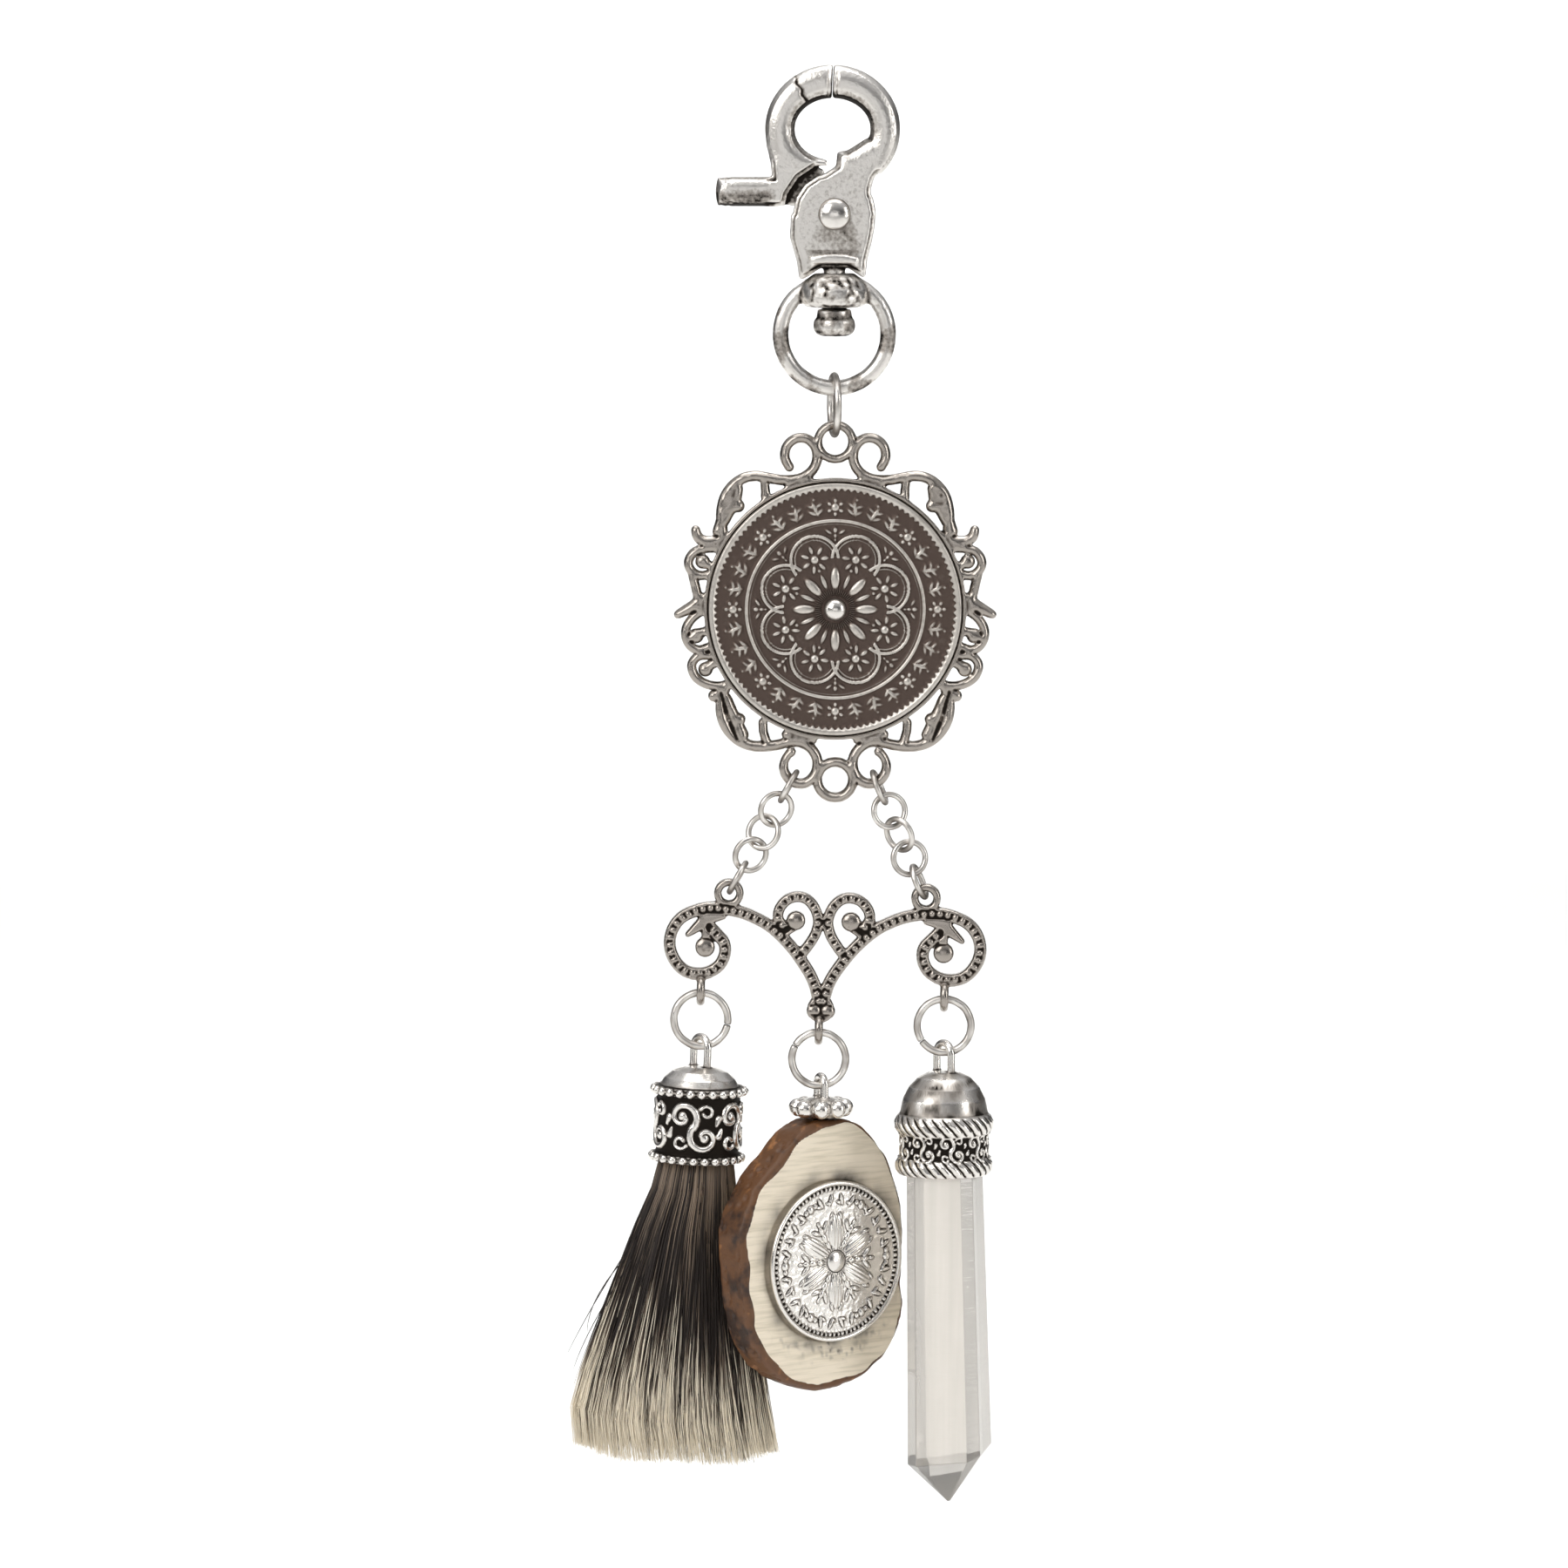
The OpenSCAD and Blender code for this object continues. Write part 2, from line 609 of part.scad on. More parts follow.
// A lock stands out from the tuft by up to its depth, and each ends at its own length
function hair_point(s, k, a) =
    let (groove = min(1, k / 4) * 0.09, bulge = 1 - groove * (1 - abs(cos(hair_locks * a / 2))))
    let (tip = k < len(hair_sections) - 1 ? 0 : 0.6 * abs(cos(hair_locks * a / 2)) - 1.1 * pow(cos(a), 2)
        + 0.7 + 0.3 * sin(5 * a))
    [s[1] + s[3] * bulge * cos(a), s[2] + s[4] * bulge * sin(a), s[0] - tip];

module tassel_hair() {
    rings = len(hair_sections);
    points = [for (k = [0:rings - 1], j = [0:hair_sides - 1])
        hair_point(hair_sections[k], k, 360 * j / hair_sides)];
    last = hair_sections[rings - 1];
    ends = [[0, 0, hair_sections[0][0]], [last[1], last[2], last[0] + 0.4]];
    sides = [for (k = [0:rings - 2], j = [0:hair_sides - 1])
        let (a = k * hair_sides + j, b = k * hair_sides + (j + 1) % hair_sides)
        [a, b, b + hair_sides, a + hair_sides]];
    top = [for (j = [0:hair_sides - 1]) [len(points), (j + 1) % hair_sides, j]];
    foot = [for (j = [0:hair_sides - 1])
        [len(points) + 1, (rings - 1) * hair_sides + j, (rings - 1) * hair_sides + (j + 1) % hair_sides]];
    color("dimgray") at_tassel() polyhedron(concat(points, ends), concat(sides, top, foot));
}

// Antler slice, in the frame of its turned face

antler_x = 0.25;           // the loop hangs a little to the right of the middle of its ring
slice_x = -0.75;
slice_z = -24.2;
// Distance of the rim from the middle, every 20 degrees from the right, going up
slice_radii = [10.4, 11.1, 12.1, 14, 15, 14.4, 12.8, 12.3, 11.9, 11.2, 11.5, 12.7, 13.9, 14.5, 14.4, 14.2,
    13.1, 11.1];
peg_r = 0.8;
coin_sink = 0.45;

module slice_outline() {
    radii = smooth_loop(slice_radii, 4);
    polygon([for (i = [0:len(radii) - 1]) radii[i] * [cos(5 * i), sin(5 * i)]]);
}

module at_antler() {
    at_hinge(hang_mid) translate([antler_x, 0, 0]) children();
}

module at_slice() {
    at_antler() translate([slice_x, 0, slice_z]) rotate([0, 0, slice_turn]) children();
}

module antler_slice() {
    color("wheat") difference() {
        at_slice() difference() {
            union() {
                upright(-slice_t / 2, slice_t / 2) offset(delta = -0.35) slice_outline();
                upright(-slice_t / 2 + 0.35, slice_t / 2 - 0.35) slice_outline();
            }
            translate([0.7, -slice_t / 2 + coin_sink, -0.4]) rotate([90, 0, 0])
                cylinder(r = small_coin_r + fit, h = 3, $fn = 96);
        }
        at_antler() translate([0, 0, -13.1]) cylinder(r = peg_r + fit, h = 6);
    }
}

module antler_bail() {
    beads = 8;
    color("silver") at_antler() {
        translate([0, 0, loop_height(bead_loop_r)]) wire_loop(bead_loop_r, loop_wire_r, 1.6, 25);
        rotate_extrude() polygon([
            [0, -6.9], [1.2, -7], [2.2, -7.4], [2.7, -7.9], [2.7, -8.6], [2.2, -9.1], [peg_r, -9.2],
            [peg_r, -13], [0, -13]
        ]);
        for (i = [0:beads - 1]) rotate([0, 0, 45 * i]) translate([2.5, 0, -8.15]) sphere(0.98, $fn = 12);
    }
}

module antler_coin() {
    front = -slice_t / 2 - 0.95;
    root = front + 0.4;
    color("gainsboro") at_slice() translate([0.7, 0, -0.4]) {
        coin_seat(small_coin_r, front + 0.2, -slice_t / 2 + coin_sink - fit);
        raised_ring(small_coin_r, 0.4, front, root);
        upright(front, root) {
            for (p = spaced(24, 7.2)) translate(p) circle(0.4);
            for (i = [0:5]) rotate(60 * i) translate([3.4, 0]) lozenge(3, 1.9);
            circle(1.4);
        }
    }
}

// Crystal

module crystal_cap() {
    color("silver") at_hinge(hang_right) {
        translate([0, 0, loop_height(loop_r)]) wire_loop(loop_r, loop_wire_r, 2.2, loop_turn);
        rotate_extrude() polygon([
            [0, -7.7], [1.5, -7.85], [2.8, -8.45], [3.8, -9.5], [4.45, -10.8], [4.75, -12.3], [5.1, -12.7],
            [5.4, -13.3], [5.35, -13.9], [4.9, -14.5], [4.7, -14.6], [4.7, -17], [5, -17.2], [5.25, -17.8],
            [5.2, -18.4], [4.9, -18.9], [4.65, -19], [4.65, -17.9], [4.3, -17.5], [4.3, -16.3], [0, -16.3]
        ]);
        scroll_belt(9, 4.7, 0.25, -15.8, 0.55, 0.55);
    }
}

// Sections of the crystal from its top down: height, middle across and size beside its foot
crystal_sections = [
    [-16.5, 0.1, 0.78],
    [-19.3, 0.1, 0.9],
    [-50.4, 0.7, 1]
];
crystal_tip = [0.6, 0, -54.9];
crystal_turn = -14;
chamfer = 0.7;              // share of the half width where the narrow faces start

// Corners of a square with its four edges cut off
function crystal_corners(h) = [for (i = [0:3], c = [[1, -chamfer], [1, chamfer]])
    rotated(h * c, 90 * i + crystal_turn)];

// The corner c of the section s, moved up along its edge by the height d
crystal_foot = -50.4;
crystal_slant = 1.5;
function crystal_point(s, c, d) =
    let (over = crystal_sections[1], t = d / (over[0] - crystal_foot))
    let (shrink = 1 - t * (1 - over[2] / s[2]))
    [shrink * c[0] + s[1] + t * (over[1] - s[1]), shrink * c[1], s[0] + d];

module crystal_drop() {
    n = 8;
    half = crystal_half_w / (cos(crystal_turn) + chamfer * sin(abs(crystal_turn)));
    points = [for (s = crystal_sections, c = crystal_corners(half * s[2]))
        crystal_point(s, c, s[0] > crystal_foot ? 0 : crystal_slant * max(0, c[0]) / half)];
    last = 2 * n;
    color("azure", 0.7) at_hinge(hang_right) polyhedron(concat(points, [crystal_tip]), concat(
        [[for (j = [n - 1:-1:0]) j]],
        [for (k = [0:1], j = [0:n - 1])
            [k * n + j, k * n + (j + 1) % n, (k + 1) * n + (j + 1) % n, (k + 1) * n + j]],
        [for (j = [0:n - 1]) [last + j, last + (j + 1) % n, 3 * n]]));
}

hook_body();
hook_lever();
hook_rivet();
swivel_ring();
top_link();
medallion_frame();
medallion_coin();
coin_rivet();
for (i = [1:5]) {
    chain_link(-1, i, left_twists[i - 1]);
    chain_link(1, i, right_twists[i - 1]);
}
scroll_bar();
tassel_ring();
tassel_cap();
tassel_hair();
antler_ring();
antler_bail();
antler_slice();
antler_coin();
crystal_ring();
crystal_cap();
crystal_drop();
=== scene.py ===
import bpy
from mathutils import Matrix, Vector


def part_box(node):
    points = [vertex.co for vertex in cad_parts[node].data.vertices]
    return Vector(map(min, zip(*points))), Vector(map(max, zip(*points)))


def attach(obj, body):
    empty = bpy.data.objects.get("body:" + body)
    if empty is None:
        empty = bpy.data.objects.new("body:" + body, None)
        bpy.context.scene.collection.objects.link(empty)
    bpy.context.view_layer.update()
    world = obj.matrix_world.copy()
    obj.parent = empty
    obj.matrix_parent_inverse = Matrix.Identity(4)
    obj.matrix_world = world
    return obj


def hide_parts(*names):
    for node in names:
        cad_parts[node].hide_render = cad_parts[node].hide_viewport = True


bl_info = {
    "name": "Charivari charm chain",
    "version": (1, 0, 0),
    "blender": (4, 5, 0),
    "location": "View3D > Sidebar > Charm chain",
    "description": "Dresses the silver charm chain: hook, coin medallion, scrolled bar and three drops",
    "category": "Add Mesh",
}

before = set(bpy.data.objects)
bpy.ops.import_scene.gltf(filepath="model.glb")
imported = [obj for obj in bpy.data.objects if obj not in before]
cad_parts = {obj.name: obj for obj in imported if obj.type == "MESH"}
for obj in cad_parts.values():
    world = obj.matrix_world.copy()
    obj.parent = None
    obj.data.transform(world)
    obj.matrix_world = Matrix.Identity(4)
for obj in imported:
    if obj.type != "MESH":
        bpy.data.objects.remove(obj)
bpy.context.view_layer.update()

import math

import bmesh
import bpy
import numpy as np
from bpy.props import FloatProperty, FloatVectorProperty, IntProperty, PointerProperty
from bpy.types import Operator, Panel, PropertyGroup
from mathutils import Matrix, Vector, kdtree, noise

MM = 0.001

# Places in millimetres, as the CAD gives them
RIVET = (0.4, -12.3)
MEDAL = (0.5, -54.58)
BEZEL_R = 14.05
COIN_R = 13.6
COIN_T = 1.45
BAR_T = 1.5
RING_R = 2.9                # middle of a jump ring's wire
RING_WIRE = 0.4             # radius of that wire
LOOP_Z = -6.01              # middle of a cap's loop, from the ring's hinge
HAIR_TOP = -16.8
HAIR_LENGTH = 33.5


# Sizes and colours that a user would change

def colour(name, description, value):
    return FloatVectorProperty(name=name, description=description, subtype="COLOR", size=3, min=0, max=1,
                               default=value)


class SilverFinish(PropertyGroup):
    # the middle and dark tones also take painted shade on the sides of pieces, through the patina_and_shade
    # mark
    bright: colour("Polished silver", "Colour of the raised, rubbed places", (0.86, 0.83, 0.79))
    middle: colour("Worn silver", "Colour between the high places and the recesses", (0.42, 0.385, 0.35))
    dark: colour("Patina", "Colour of the blackened recesses", (0.022, 0.018, 0.015))
    aged_bright: colour("Aged silver", "Colour of the high places of the frame and the bar",
                        (0.41, 0.373, 0.337))
    aged_middle: colour("Aged patina", "Colour between, on the frame and the bar", (0.135, 0.112, 0.096))
    coin_bright: colour("Coin relief", "Colour of the large coin's relief", (0.68, 0.64, 0.59))
    coin_middle: colour("Coin slopes", "Colour of the large coin's worn slopes", (0.23, 0.195, 0.17))
    coin_dark: colour("Coin ground", "Colour of the large coin's ground", (0.13, 0.097, 0.083))
    polish: FloatProperty(name="Roughness", description="Roughness of the rubbed silver", default=0.2,
                          min=0.05, max=0.6, subtype="FACTOR")
    grain: FloatProperty(name="Relief grain", description="Size of the smallest cast detail, in millimetres",
                         default=0.115, min=0.08, max=0.3)


class HairLook(PropertyGroup):
    strands: IntProperty(name="Strands", description="Number of outer hairs in the tassel", default=3300,
                         min=200, max=3900)
    thickness: FloatProperty(name="Hair thickness", description="Radius of a hair, in millimetres",
                             default=0.055, min=0.02, max=0.12)
    root: colour("Root", "Colour of the hair under the cap", (0.3, 0.225, 0.165))
    middle: colour("Middle", "Colour of the dark part of the hair", (0.017, 0.011, 0.0085))
    tip: colour("Tip", "Colour of the ends of the hair", (1.0, 0.9, 0.72))


class AntlerLook(PropertyGroup):
    face: colour("Cut face", "Colour of the sawn antler", (0.93, 0.83, 0.67))
    grain: colour("Grain", "Colour of the darker lines in the sawn antler", (0.72, 0.64, 0.49))
    bark: colour("Bark", "Colour of the antler's outside", (0.13, 0.055, 0.02))
    bark_dark: colour("Dark bark", "Colour of the hollows in the outside", (0.035, 0.017, 0.01))
    bark_light: colour("Light bark", "Colour of the rubbed patches in the outside", (0.45, 0.19, 0.06))
    # this colour paints the shadow round the coin as well as the real dark specks
    shadow_and_speck_tint: colour("Stain", "Colour of the stain round the coin", (0.13, 0.115, 0.1))


class CrystalLook(PropertyGroup):
    tint: colour("Crystal tint", "Colour of the rock crystal", (0.92, 0.875, 0.81))
    shade: colour("Crystal shade", "Colour of the narrow faces and the point", (0.56, 0.545, 0.52))
    polish: FloatProperty(name="Crystal roughness", description="Roughness of the polished faces",
                          default=0.05, min=0, max=0.4, subtype="FACTOR")


class StudioLook(PropertyGroup):
    backdrop: colour("Backdrop", "Colour of the floor and the wall behind", (0.9, 0.9, 0.89))
    ground: colour("Ground", "Colour of the wide floor round them", (0.5, 0.5, 0.495))
    elevation: FloatProperty(name="Camera height", description="Angle of the view above level",
                             default=math.radians(5.5), subtype="ANGLE")
    width: FloatProperty(name="Frame width", description="Width that the image shows at the chain",
                         default=0.1684, min=0.05, max=1, unit="LENGTH")


class CharmSettings(PropertyGroup):
    silver: PointerProperty(type=SilverFinish)
    hair: PointerProperty(type=HairLook)
    antler: PointerProperty(type=AntlerLook)
    crystal: PointerProperty(type=CrystalLook)
    studio: PointerProperty(type=StudioLook)


def settings():
    return bpy.context.scene.charm_chain


# Handling of objects; pieces are shaped in millimetres and put into metres at the end

def take(*objects):
    bpy.ops.object.select_all(action="DESELECT")
    for obj in objects:
        obj.select_set(True)
    bpy.context.view_layer.objects.active = objects[0]


def casting(node, name):
    """A copy of a CAD node's mesh, in millimetres, its loose triangles joined up."""
    obj = bpy.data.objects.new(name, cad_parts[node].data.copy())
    bpy.context.scene.collection.objects.link(obj)
    obj.data.materials.clear()
    obj.data.transform(Matrix.Scale(1 / MM, 4))
    take(obj)
    bpy.ops.object.mode_set(mode="EDIT")
    bpy.ops.mesh.select_all(action="SELECT")
    bpy.ops.mesh.remove_doubles(threshold=0.002)
    bpy.ops.object.mode_set(mode="OBJECT")
    return obj


def join(main, *others):
    take(main, *others)
    bpy.ops.object.join()
    return main


def use_modifier(obj, kind, **values):
    take(obj)
    bpy.ops.object.modifier_add(type=kind)
    modifier = obj.modifiers[-1]
    for key, value in values.items():
        setattr(modifier, key, value)
    bpy.ops.object.modifier_apply(modifier=modifier.name)


def fuse(obj, grain):
    """One closed skin over everything in obj, with faces of about that size."""
    use_modifier(obj, "REMESH", mode="VOXEL", voxel_size=grain)
    return obj


def points(obj):
    co = np.empty(len(obj.data.vertices) * 3)
    obj.data.vertices.foreach_get("co", co)
    return co.reshape(-1, 3)


def set_points(obj, co):
    obj.data.vertices.foreach_set("co", np.ascontiguousarray(co).ravel())
    obj.data.update()


def normals(obj):
    n = np.empty(len(obj.data.vertices) * 3, np.float32)
    obj.data.vertex_normals.foreach_get("vector", n)
    return n.reshape(-1, 3).astype(float)


def edges(obj):
    e = np.empty(len(obj.data.edges) * 2, np.int32)
    obj.data.edges.foreach_get("vertices", e)
    return e.reshape(-1, 2)


def relaxed(values, e, rounds, share=0.5):
    """values smoothed over the mesh's edges."""
    values = np.array(values, float).reshape(len(values), -1)
    n = len(values)
    a, b = e[:, 0], e[:, 1]
    degree = np.maximum(np.bincount(a, minlength=n) + np.bincount(b, minlength=n), 1)
    for _ in range(rounds):
        near = np.stack([np.bincount(a, values[b, k], n) + np.bincount(b, values[a, k], n)
                         for k in range(values.shape[1])], axis=1) / degree[:, None]
        values = values + share * (near - values)
    return values


def thin(obj, share):
    """Fewer faces, first where the surface is flat."""
    use_modifier(obj, "DECIMATE", ratio=share)
    return obj


def smooth(obj, rounds, share=0.5):
    set_points(obj, relaxed(points(obj), edges(obj), rounds, share))
    return obj


def steps(x, low, high):
    t = np.clip((x - low) / (high - low), 0, 1)
    return t * t * (3 - 2 * t)


def grainy(co, size, seed=0.0):
    """Smooth noise from -1 to 1, at each point."""
    shift = Vector((seed, seed * 1.7, -seed))
    return np.array([noise.noise(Vector(p) / size + shift) for p in co]) * 1.6


def pitted(co, size, seed=0.0):
    """Distance to the nearest of scattered points, about 0 to 1."""
    shift = Vector((seed, -seed, seed * 2.3))
    return np.array([noise.voronoi(Vector(p) / size + shift)[0][0] for p in co])


def mark(obj, name, values):
    layer = obj.data.attributes.new(name, "FLOAT", "POINT")
    layer.data.foreach_set("value", np.clip(values, 0, 1).astype(np.float32))


def patina_and_shade(obj, lean=0.3, reach=0.05, wide=24, extra=None):
    """Marks how dark the silver is: patina black in recesses, raised and rubbed places bright, and extra,
    where callers add painted shade as well as patina.
    """
    co, n, e = points(obj), normals(obj), edges(obj)
    fine = ((relaxed(co, e, 4) - co) * n).sum(1)
    broad = ((relaxed(co, e, wide) - co) * n).sum(1)
    value = lean + 0.45 * np.clip(fine / (0.3 * reach), -1, 1) + 0.6 * np.clip(broad / reach, -1, 1)
    if extra is not None:
        value = value + extra
    mark(obj, "patina_and_shade", relaxed(np.clip(value, 0, 1), e, 1)[:, 0])


def finished(obj, body, material, *nodes, slot=None):
    """Puts a piece into metres and dresses it, in place of its CAD nodes."""
    obj.data.transform(Matrix.Scale(MM, 4))
    obj.data.materials.clear()
    obj.data.materials.append(material)
    take(obj)
    bpy.ops.object.shade_smooth()
    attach(obj, body)
    if nodes:
        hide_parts(*nodes)
    return obj


def wire(name, path, radius, closed=False, sides=3):
    """A round wire along a path, as a mesh."""
    curve = bpy.data.curves.new(name, "CURVE")
    curve.dimensions = "3D"
    curve.bevel_depth = 1
    curve.bevel_resolution = sides
    curve.use_fill_caps = not closed
    spline = curve.splines.new("POLY")
    spline.points.add(len(path) - 1)
    spline.use_cyclic_u = closed
    radii = np.broadcast_to(radius, len(path))
    for point, place, r in zip(spline.points, path, radii):
        point.co = (*place, 1)
        point.radius = r
    obj = bpy.data.objects.new(name, curve)
    bpy.context.scene.collection.objects.link(obj)
    take(obj)
    bpy.ops.object.convert(target="MESH")
    return obj


def turned(name, profile, step, around, fine=99):
    """A lathe-turned body about the Z axis, from its profile of radius and height, from top to bottom.
    Only its first few stretches are cut fine, where fine says so."""
    line = []
    for k, ((r0, z0), (r1, z1)) in enumerate(zip(profile, profile[1:])):
        count = max(1, round(math.hypot(r1 - r0, z1 - z0) / step)) if k < fine else 1
        line += [(r0 + (r1 - r0) * i / count, 0, z0 + (z1 - z0) * i / count) for i in range(count)]
    line.append((profile[-1][0], 0, profile[-1][1]))
    mesh = bpy.data.meshes.new(name)
    mesh.from_pydata(line, [(i, i + 1) for i in range(len(line) - 1)], [])
    obj = bpy.data.objects.new(name, mesh)
    bpy.context.scene.collection.objects.link(obj)
    use_modifier(obj, "SCREW", steps=around, render_steps=around, use_merge_vertices=True,
                 merge_threshold=0.001, use_normal_calculate=True)
    take(obj)
    bpy.ops.object.mode_set(mode="EDIT")
    bpy.ops.mesh.select_all(action="SELECT")
    bpy.ops.mesh.normals_make_consistent(inside=False)
    bpy.ops.object.mode_set(mode="OBJECT")
    return obj


def middle_of(node):
    low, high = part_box(node)
    return (np.array(low) + np.array(high)) / 2 / MM


def hinge_of(ring):
    """Where a drop hangs: the middle of its jump ring's wire, at the top, in millimetres."""
    middle, high = middle_of(ring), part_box(ring)[1]
    return np.array([middle[0], middle[1], high[2] / MM - RING_WIRE])


# Materials

def material(name):
    mat = bpy.data.materials.new(name)
    mat.use_nodes = True
    return mat, mat.node_tree.nodes, mat.node_tree.links, mat.node_tree.nodes["Principled BSDF"]


def ramp(nodes, stops):
    node = nodes.new("ShaderNodeValToRGB")
    line = node.color_ramp.elements
    while len(line) < len(stops):
        line.new(0.5)
    for element, (place, value) in zip(line, stops):
        element.position = place
        element.color = (*value, 1) if hasattr(value, "__len__") else (value, value, value, 1)
    return node


def noise_node(nodes, links, scale, detail=4, stretch=None, seed=0.0):
    coords = nodes.new("ShaderNodeTexCoord")
    place = nodes.new("ShaderNodeMapping")
    place.inputs["Scale"].default_value = stretch or (1, 1, 1)
    place.inputs["Location"].default_value = (seed, seed, seed)
    texture = nodes.new("ShaderNodeTexNoise")
    texture.inputs["Scale"].default_value = scale
    texture.inputs["Detail"].default_value = detail
    links.new(coords.outputs["Object"], place.inputs["Vector"])
    links.new(place.outputs["Vector"], texture.inputs["Vector"])
    return texture


def maths(nodes, links, kind, a, b, clamp=False):
    node = nodes.new("ShaderNodeMath")
    node.operation = kind
    node.use_clamp = clamp
    for socket, value in zip(node.inputs, (a, b)):
        if isinstance(value, (int, float)):
            socket.default_value = value
        else:
            links.new(value, socket)
    return node.outputs[0]


def bump(nodes, links, shader, height, distance, strength=1.0):
    node = nodes.new("ShaderNodeBump")
    node.inputs["Strength"].default_value = strength
    node.inputs["Distance"].default_value = distance
    links.new(height, node.inputs["Height"])
    links.new(node.outputs["Normal"], shader.inputs["Normal"])


def silver(name, tones=("bright", "middle", "dark"), rough=0.0, speckle=0.3, scale=900.0,
           pits=0.000012):
    """Antique silver: polished where it is rubbed, black-brown where the patina_and_shade mark says so, which
    holds patina and painted shade.
    """
    look = settings().silver
    bright, middle, dark = (getattr(look, tone) for tone in tones)
    mat, nodes, links, shader = material(name)
    cloud = noise_node(nodes, links, scale, 5)
    layer = nodes.new("ShaderNodeAttribute")
    layer.attribute_name = "patina_and_shade"
    depth = layer.outputs["Fac"]
    mottle = maths(nodes, links, "MULTIPLY_ADD", cloud.outputs["Fac"], speckle)
    mottle.node.inputs[2].default_value = -0.5 * speckle
    amount = maths(nodes, links, "ADD", depth, mottle, True)
    tone = ramp(nodes, [(0.12, bright), (0.45, middle), (0.8, dark)])
    links.new(amount, tone.inputs["Fac"])
    links.new(tone.outputs["Color"], shader.inputs["Base Color"])
    gloss = ramp(nodes, [(0.1, look.polish + rough), (0.75, 0.6)])
    links.new(amount, gloss.inputs["Fac"])
    links.new(gloss.outputs["Color"], shader.inputs["Roughness"])
    shader.inputs["Metallic"].default_value = 1
    fine = noise_node(nodes, links, 4200, 3, seed=3)
    height = maths(nodes, links, "ADD", fine.outputs["Fac"], cloud.outputs["Fac"])
    bump(nodes, links, shader, height, pits)
    return mat


def shared(name, make, **values):
    """A material is made once and used by every piece that has it."""
    return bpy.data.materials.get(name) or make(name, **values)


def cast_silver():
    return shared("cast_silver", silver)


def wire_silver():
    return shared("wire_silver", silver, speckle=0.25, rough=0.06, scale=900.0, pits=0.000006)


def worn_silver():
    return shared("worn_silver", silver, speckle=0.85, rough=0.1, scale=2700.0, pits=0.00003)


def aged_silver():
    return shared("aged_silver", silver, tones=("aged_bright", "aged_middle", "dark"), speckle=0.22,
                  rough=0.04, scale=1100.0)


def coin_silver():
    return shared("struck_silver", silver, tones=("coin_bright", "coin_middle", "coin_dark"), speckle=0.35,
                  rough=0.16, scale=2200.0, pits=0.00002)


# Flat plates and scrollwork: the distance of each point from the drawn outline gives its rounding

def tree_of(spots):
    """A tree of places (x, z) in the plane of the plate."""
    tree = kdtree.KDTree(len(spots))
    for i, (x, z) in enumerate(spots):
        tree.insert((x, 0, z), i)
    tree.balance()
    return tree


def outline_tree(obj, front, counts=lambda x, z: True, more=()):
    """The outline of a flat plate at the depth front, as a tree, where counts says so, with more places."""
    bm = bmesh.new()
    bm.from_mesh(obj.data)
    spots = []
    for edge in bm.edges:
        a, b = (v.co for v in edge.verts)
        if abs(a.y - front) > 0.01 or abs(b.y - front) > 0.01 or len(edge.link_faces) != 2:
            continue
        tilt = [abs(f.normal.y) for f in edge.link_faces]
        if max(tilt) < 0.9 or min(tilt) > 0.3:
            continue
        wall = edge.link_faces[tilt.index(min(tilt))]
        if wall.calc_center_median().y < front:
            continue
        count = max(1, int((a - b).length / 0.06))
        spots += [tuple(a.lerp(b, i / count).xz) for i in range(count)]
    bm.free()
    return tree_of([spot for spot in spots if counts(*spot)] + list(more))


def distance_in(tree, co):
    return np.array([tree.find((x, 0, z))[2] for x, _, z in co])


def domed(d, reach):
    t = np.clip(d / reach, 0, 1)
    return np.sqrt(1 - (1 - t) ** 2)


# Hook

PLATE_HALF = 1.6
BEVEL_FOOT = 1.15           # half thickness of the plate at its outline
EYE = (0.2, -3.3)
EYE_RIMS = ((7.2, 6.85), (4.05, 3.3))       # half width and half height, outside and inside
SKIN = 0.14                 # size of the faces of a cast skin
PARTING = (0.146, 0.036)    # place of the cut at height 0, and its lean
PARTING_FOOT = -1
TAB_Z = -9.95               # middle of the thumb tab
TAB_HALF = 1.55
TAB_ROUND = -10.75          # where the tab's round end begins


def past_parting(x, z):
    """How far a place lies to the right of the cut at the top of the eye, where lever and hook meet."""
    return x - PARTING[0] - PARTING[1] * z


def parting(x, z):
    """Darkness of the cut."""
    return 1.6 * np.exp(-(past_parting(x, z) / 0.2) ** 2) * (z > PARTING_FOOT)


def eye_bore(x, z, n):
    """Darkening of the inner side of the eye, most in its upper half where it faces down: patina in the bore
    and painted shade.
    """
    dx, dz = x - EYE[0], z - EYE[1]
    inward = -(n[:, 0] * dx + n[:, 2] * dz) / np.hypot(dx, dz)
    return steps(inward, 0.2, 0.75) * steps(z, -8, -6.2) * (0.35 + 0.45 * steps(z, -4, 0))


def round_the_eye(x, z):
    """Keeps the outline's points away from the parting, for eye_rim to close it."""
    return not (z > PARTING_FOOT - 0.5 and abs(past_parting(x, z)) < 0.45)


def eye_rim():
    """Outline of the whole eye across the parting."""
    spots = []
    for half_w, half_h in EYE_RIMS:
        for x in np.linspace(-0.35, 0.75, 20):
            spots.append((x, EYE[1] + half_h * math.sqrt(1 - ((x - EYE[0]) / half_w) ** 2)))
    return spots


def close_up(co, side):
    """Draws the end of the arm up to the parting, where its corners were rounded away."""
    past = side * past_parting(co[:, 0], co[:, 2])
    co[:, 0] -= side * 0.03 * steps(0.45 - past, 0, 0.3) * (co[:, 2] > PARTING_FOOT)


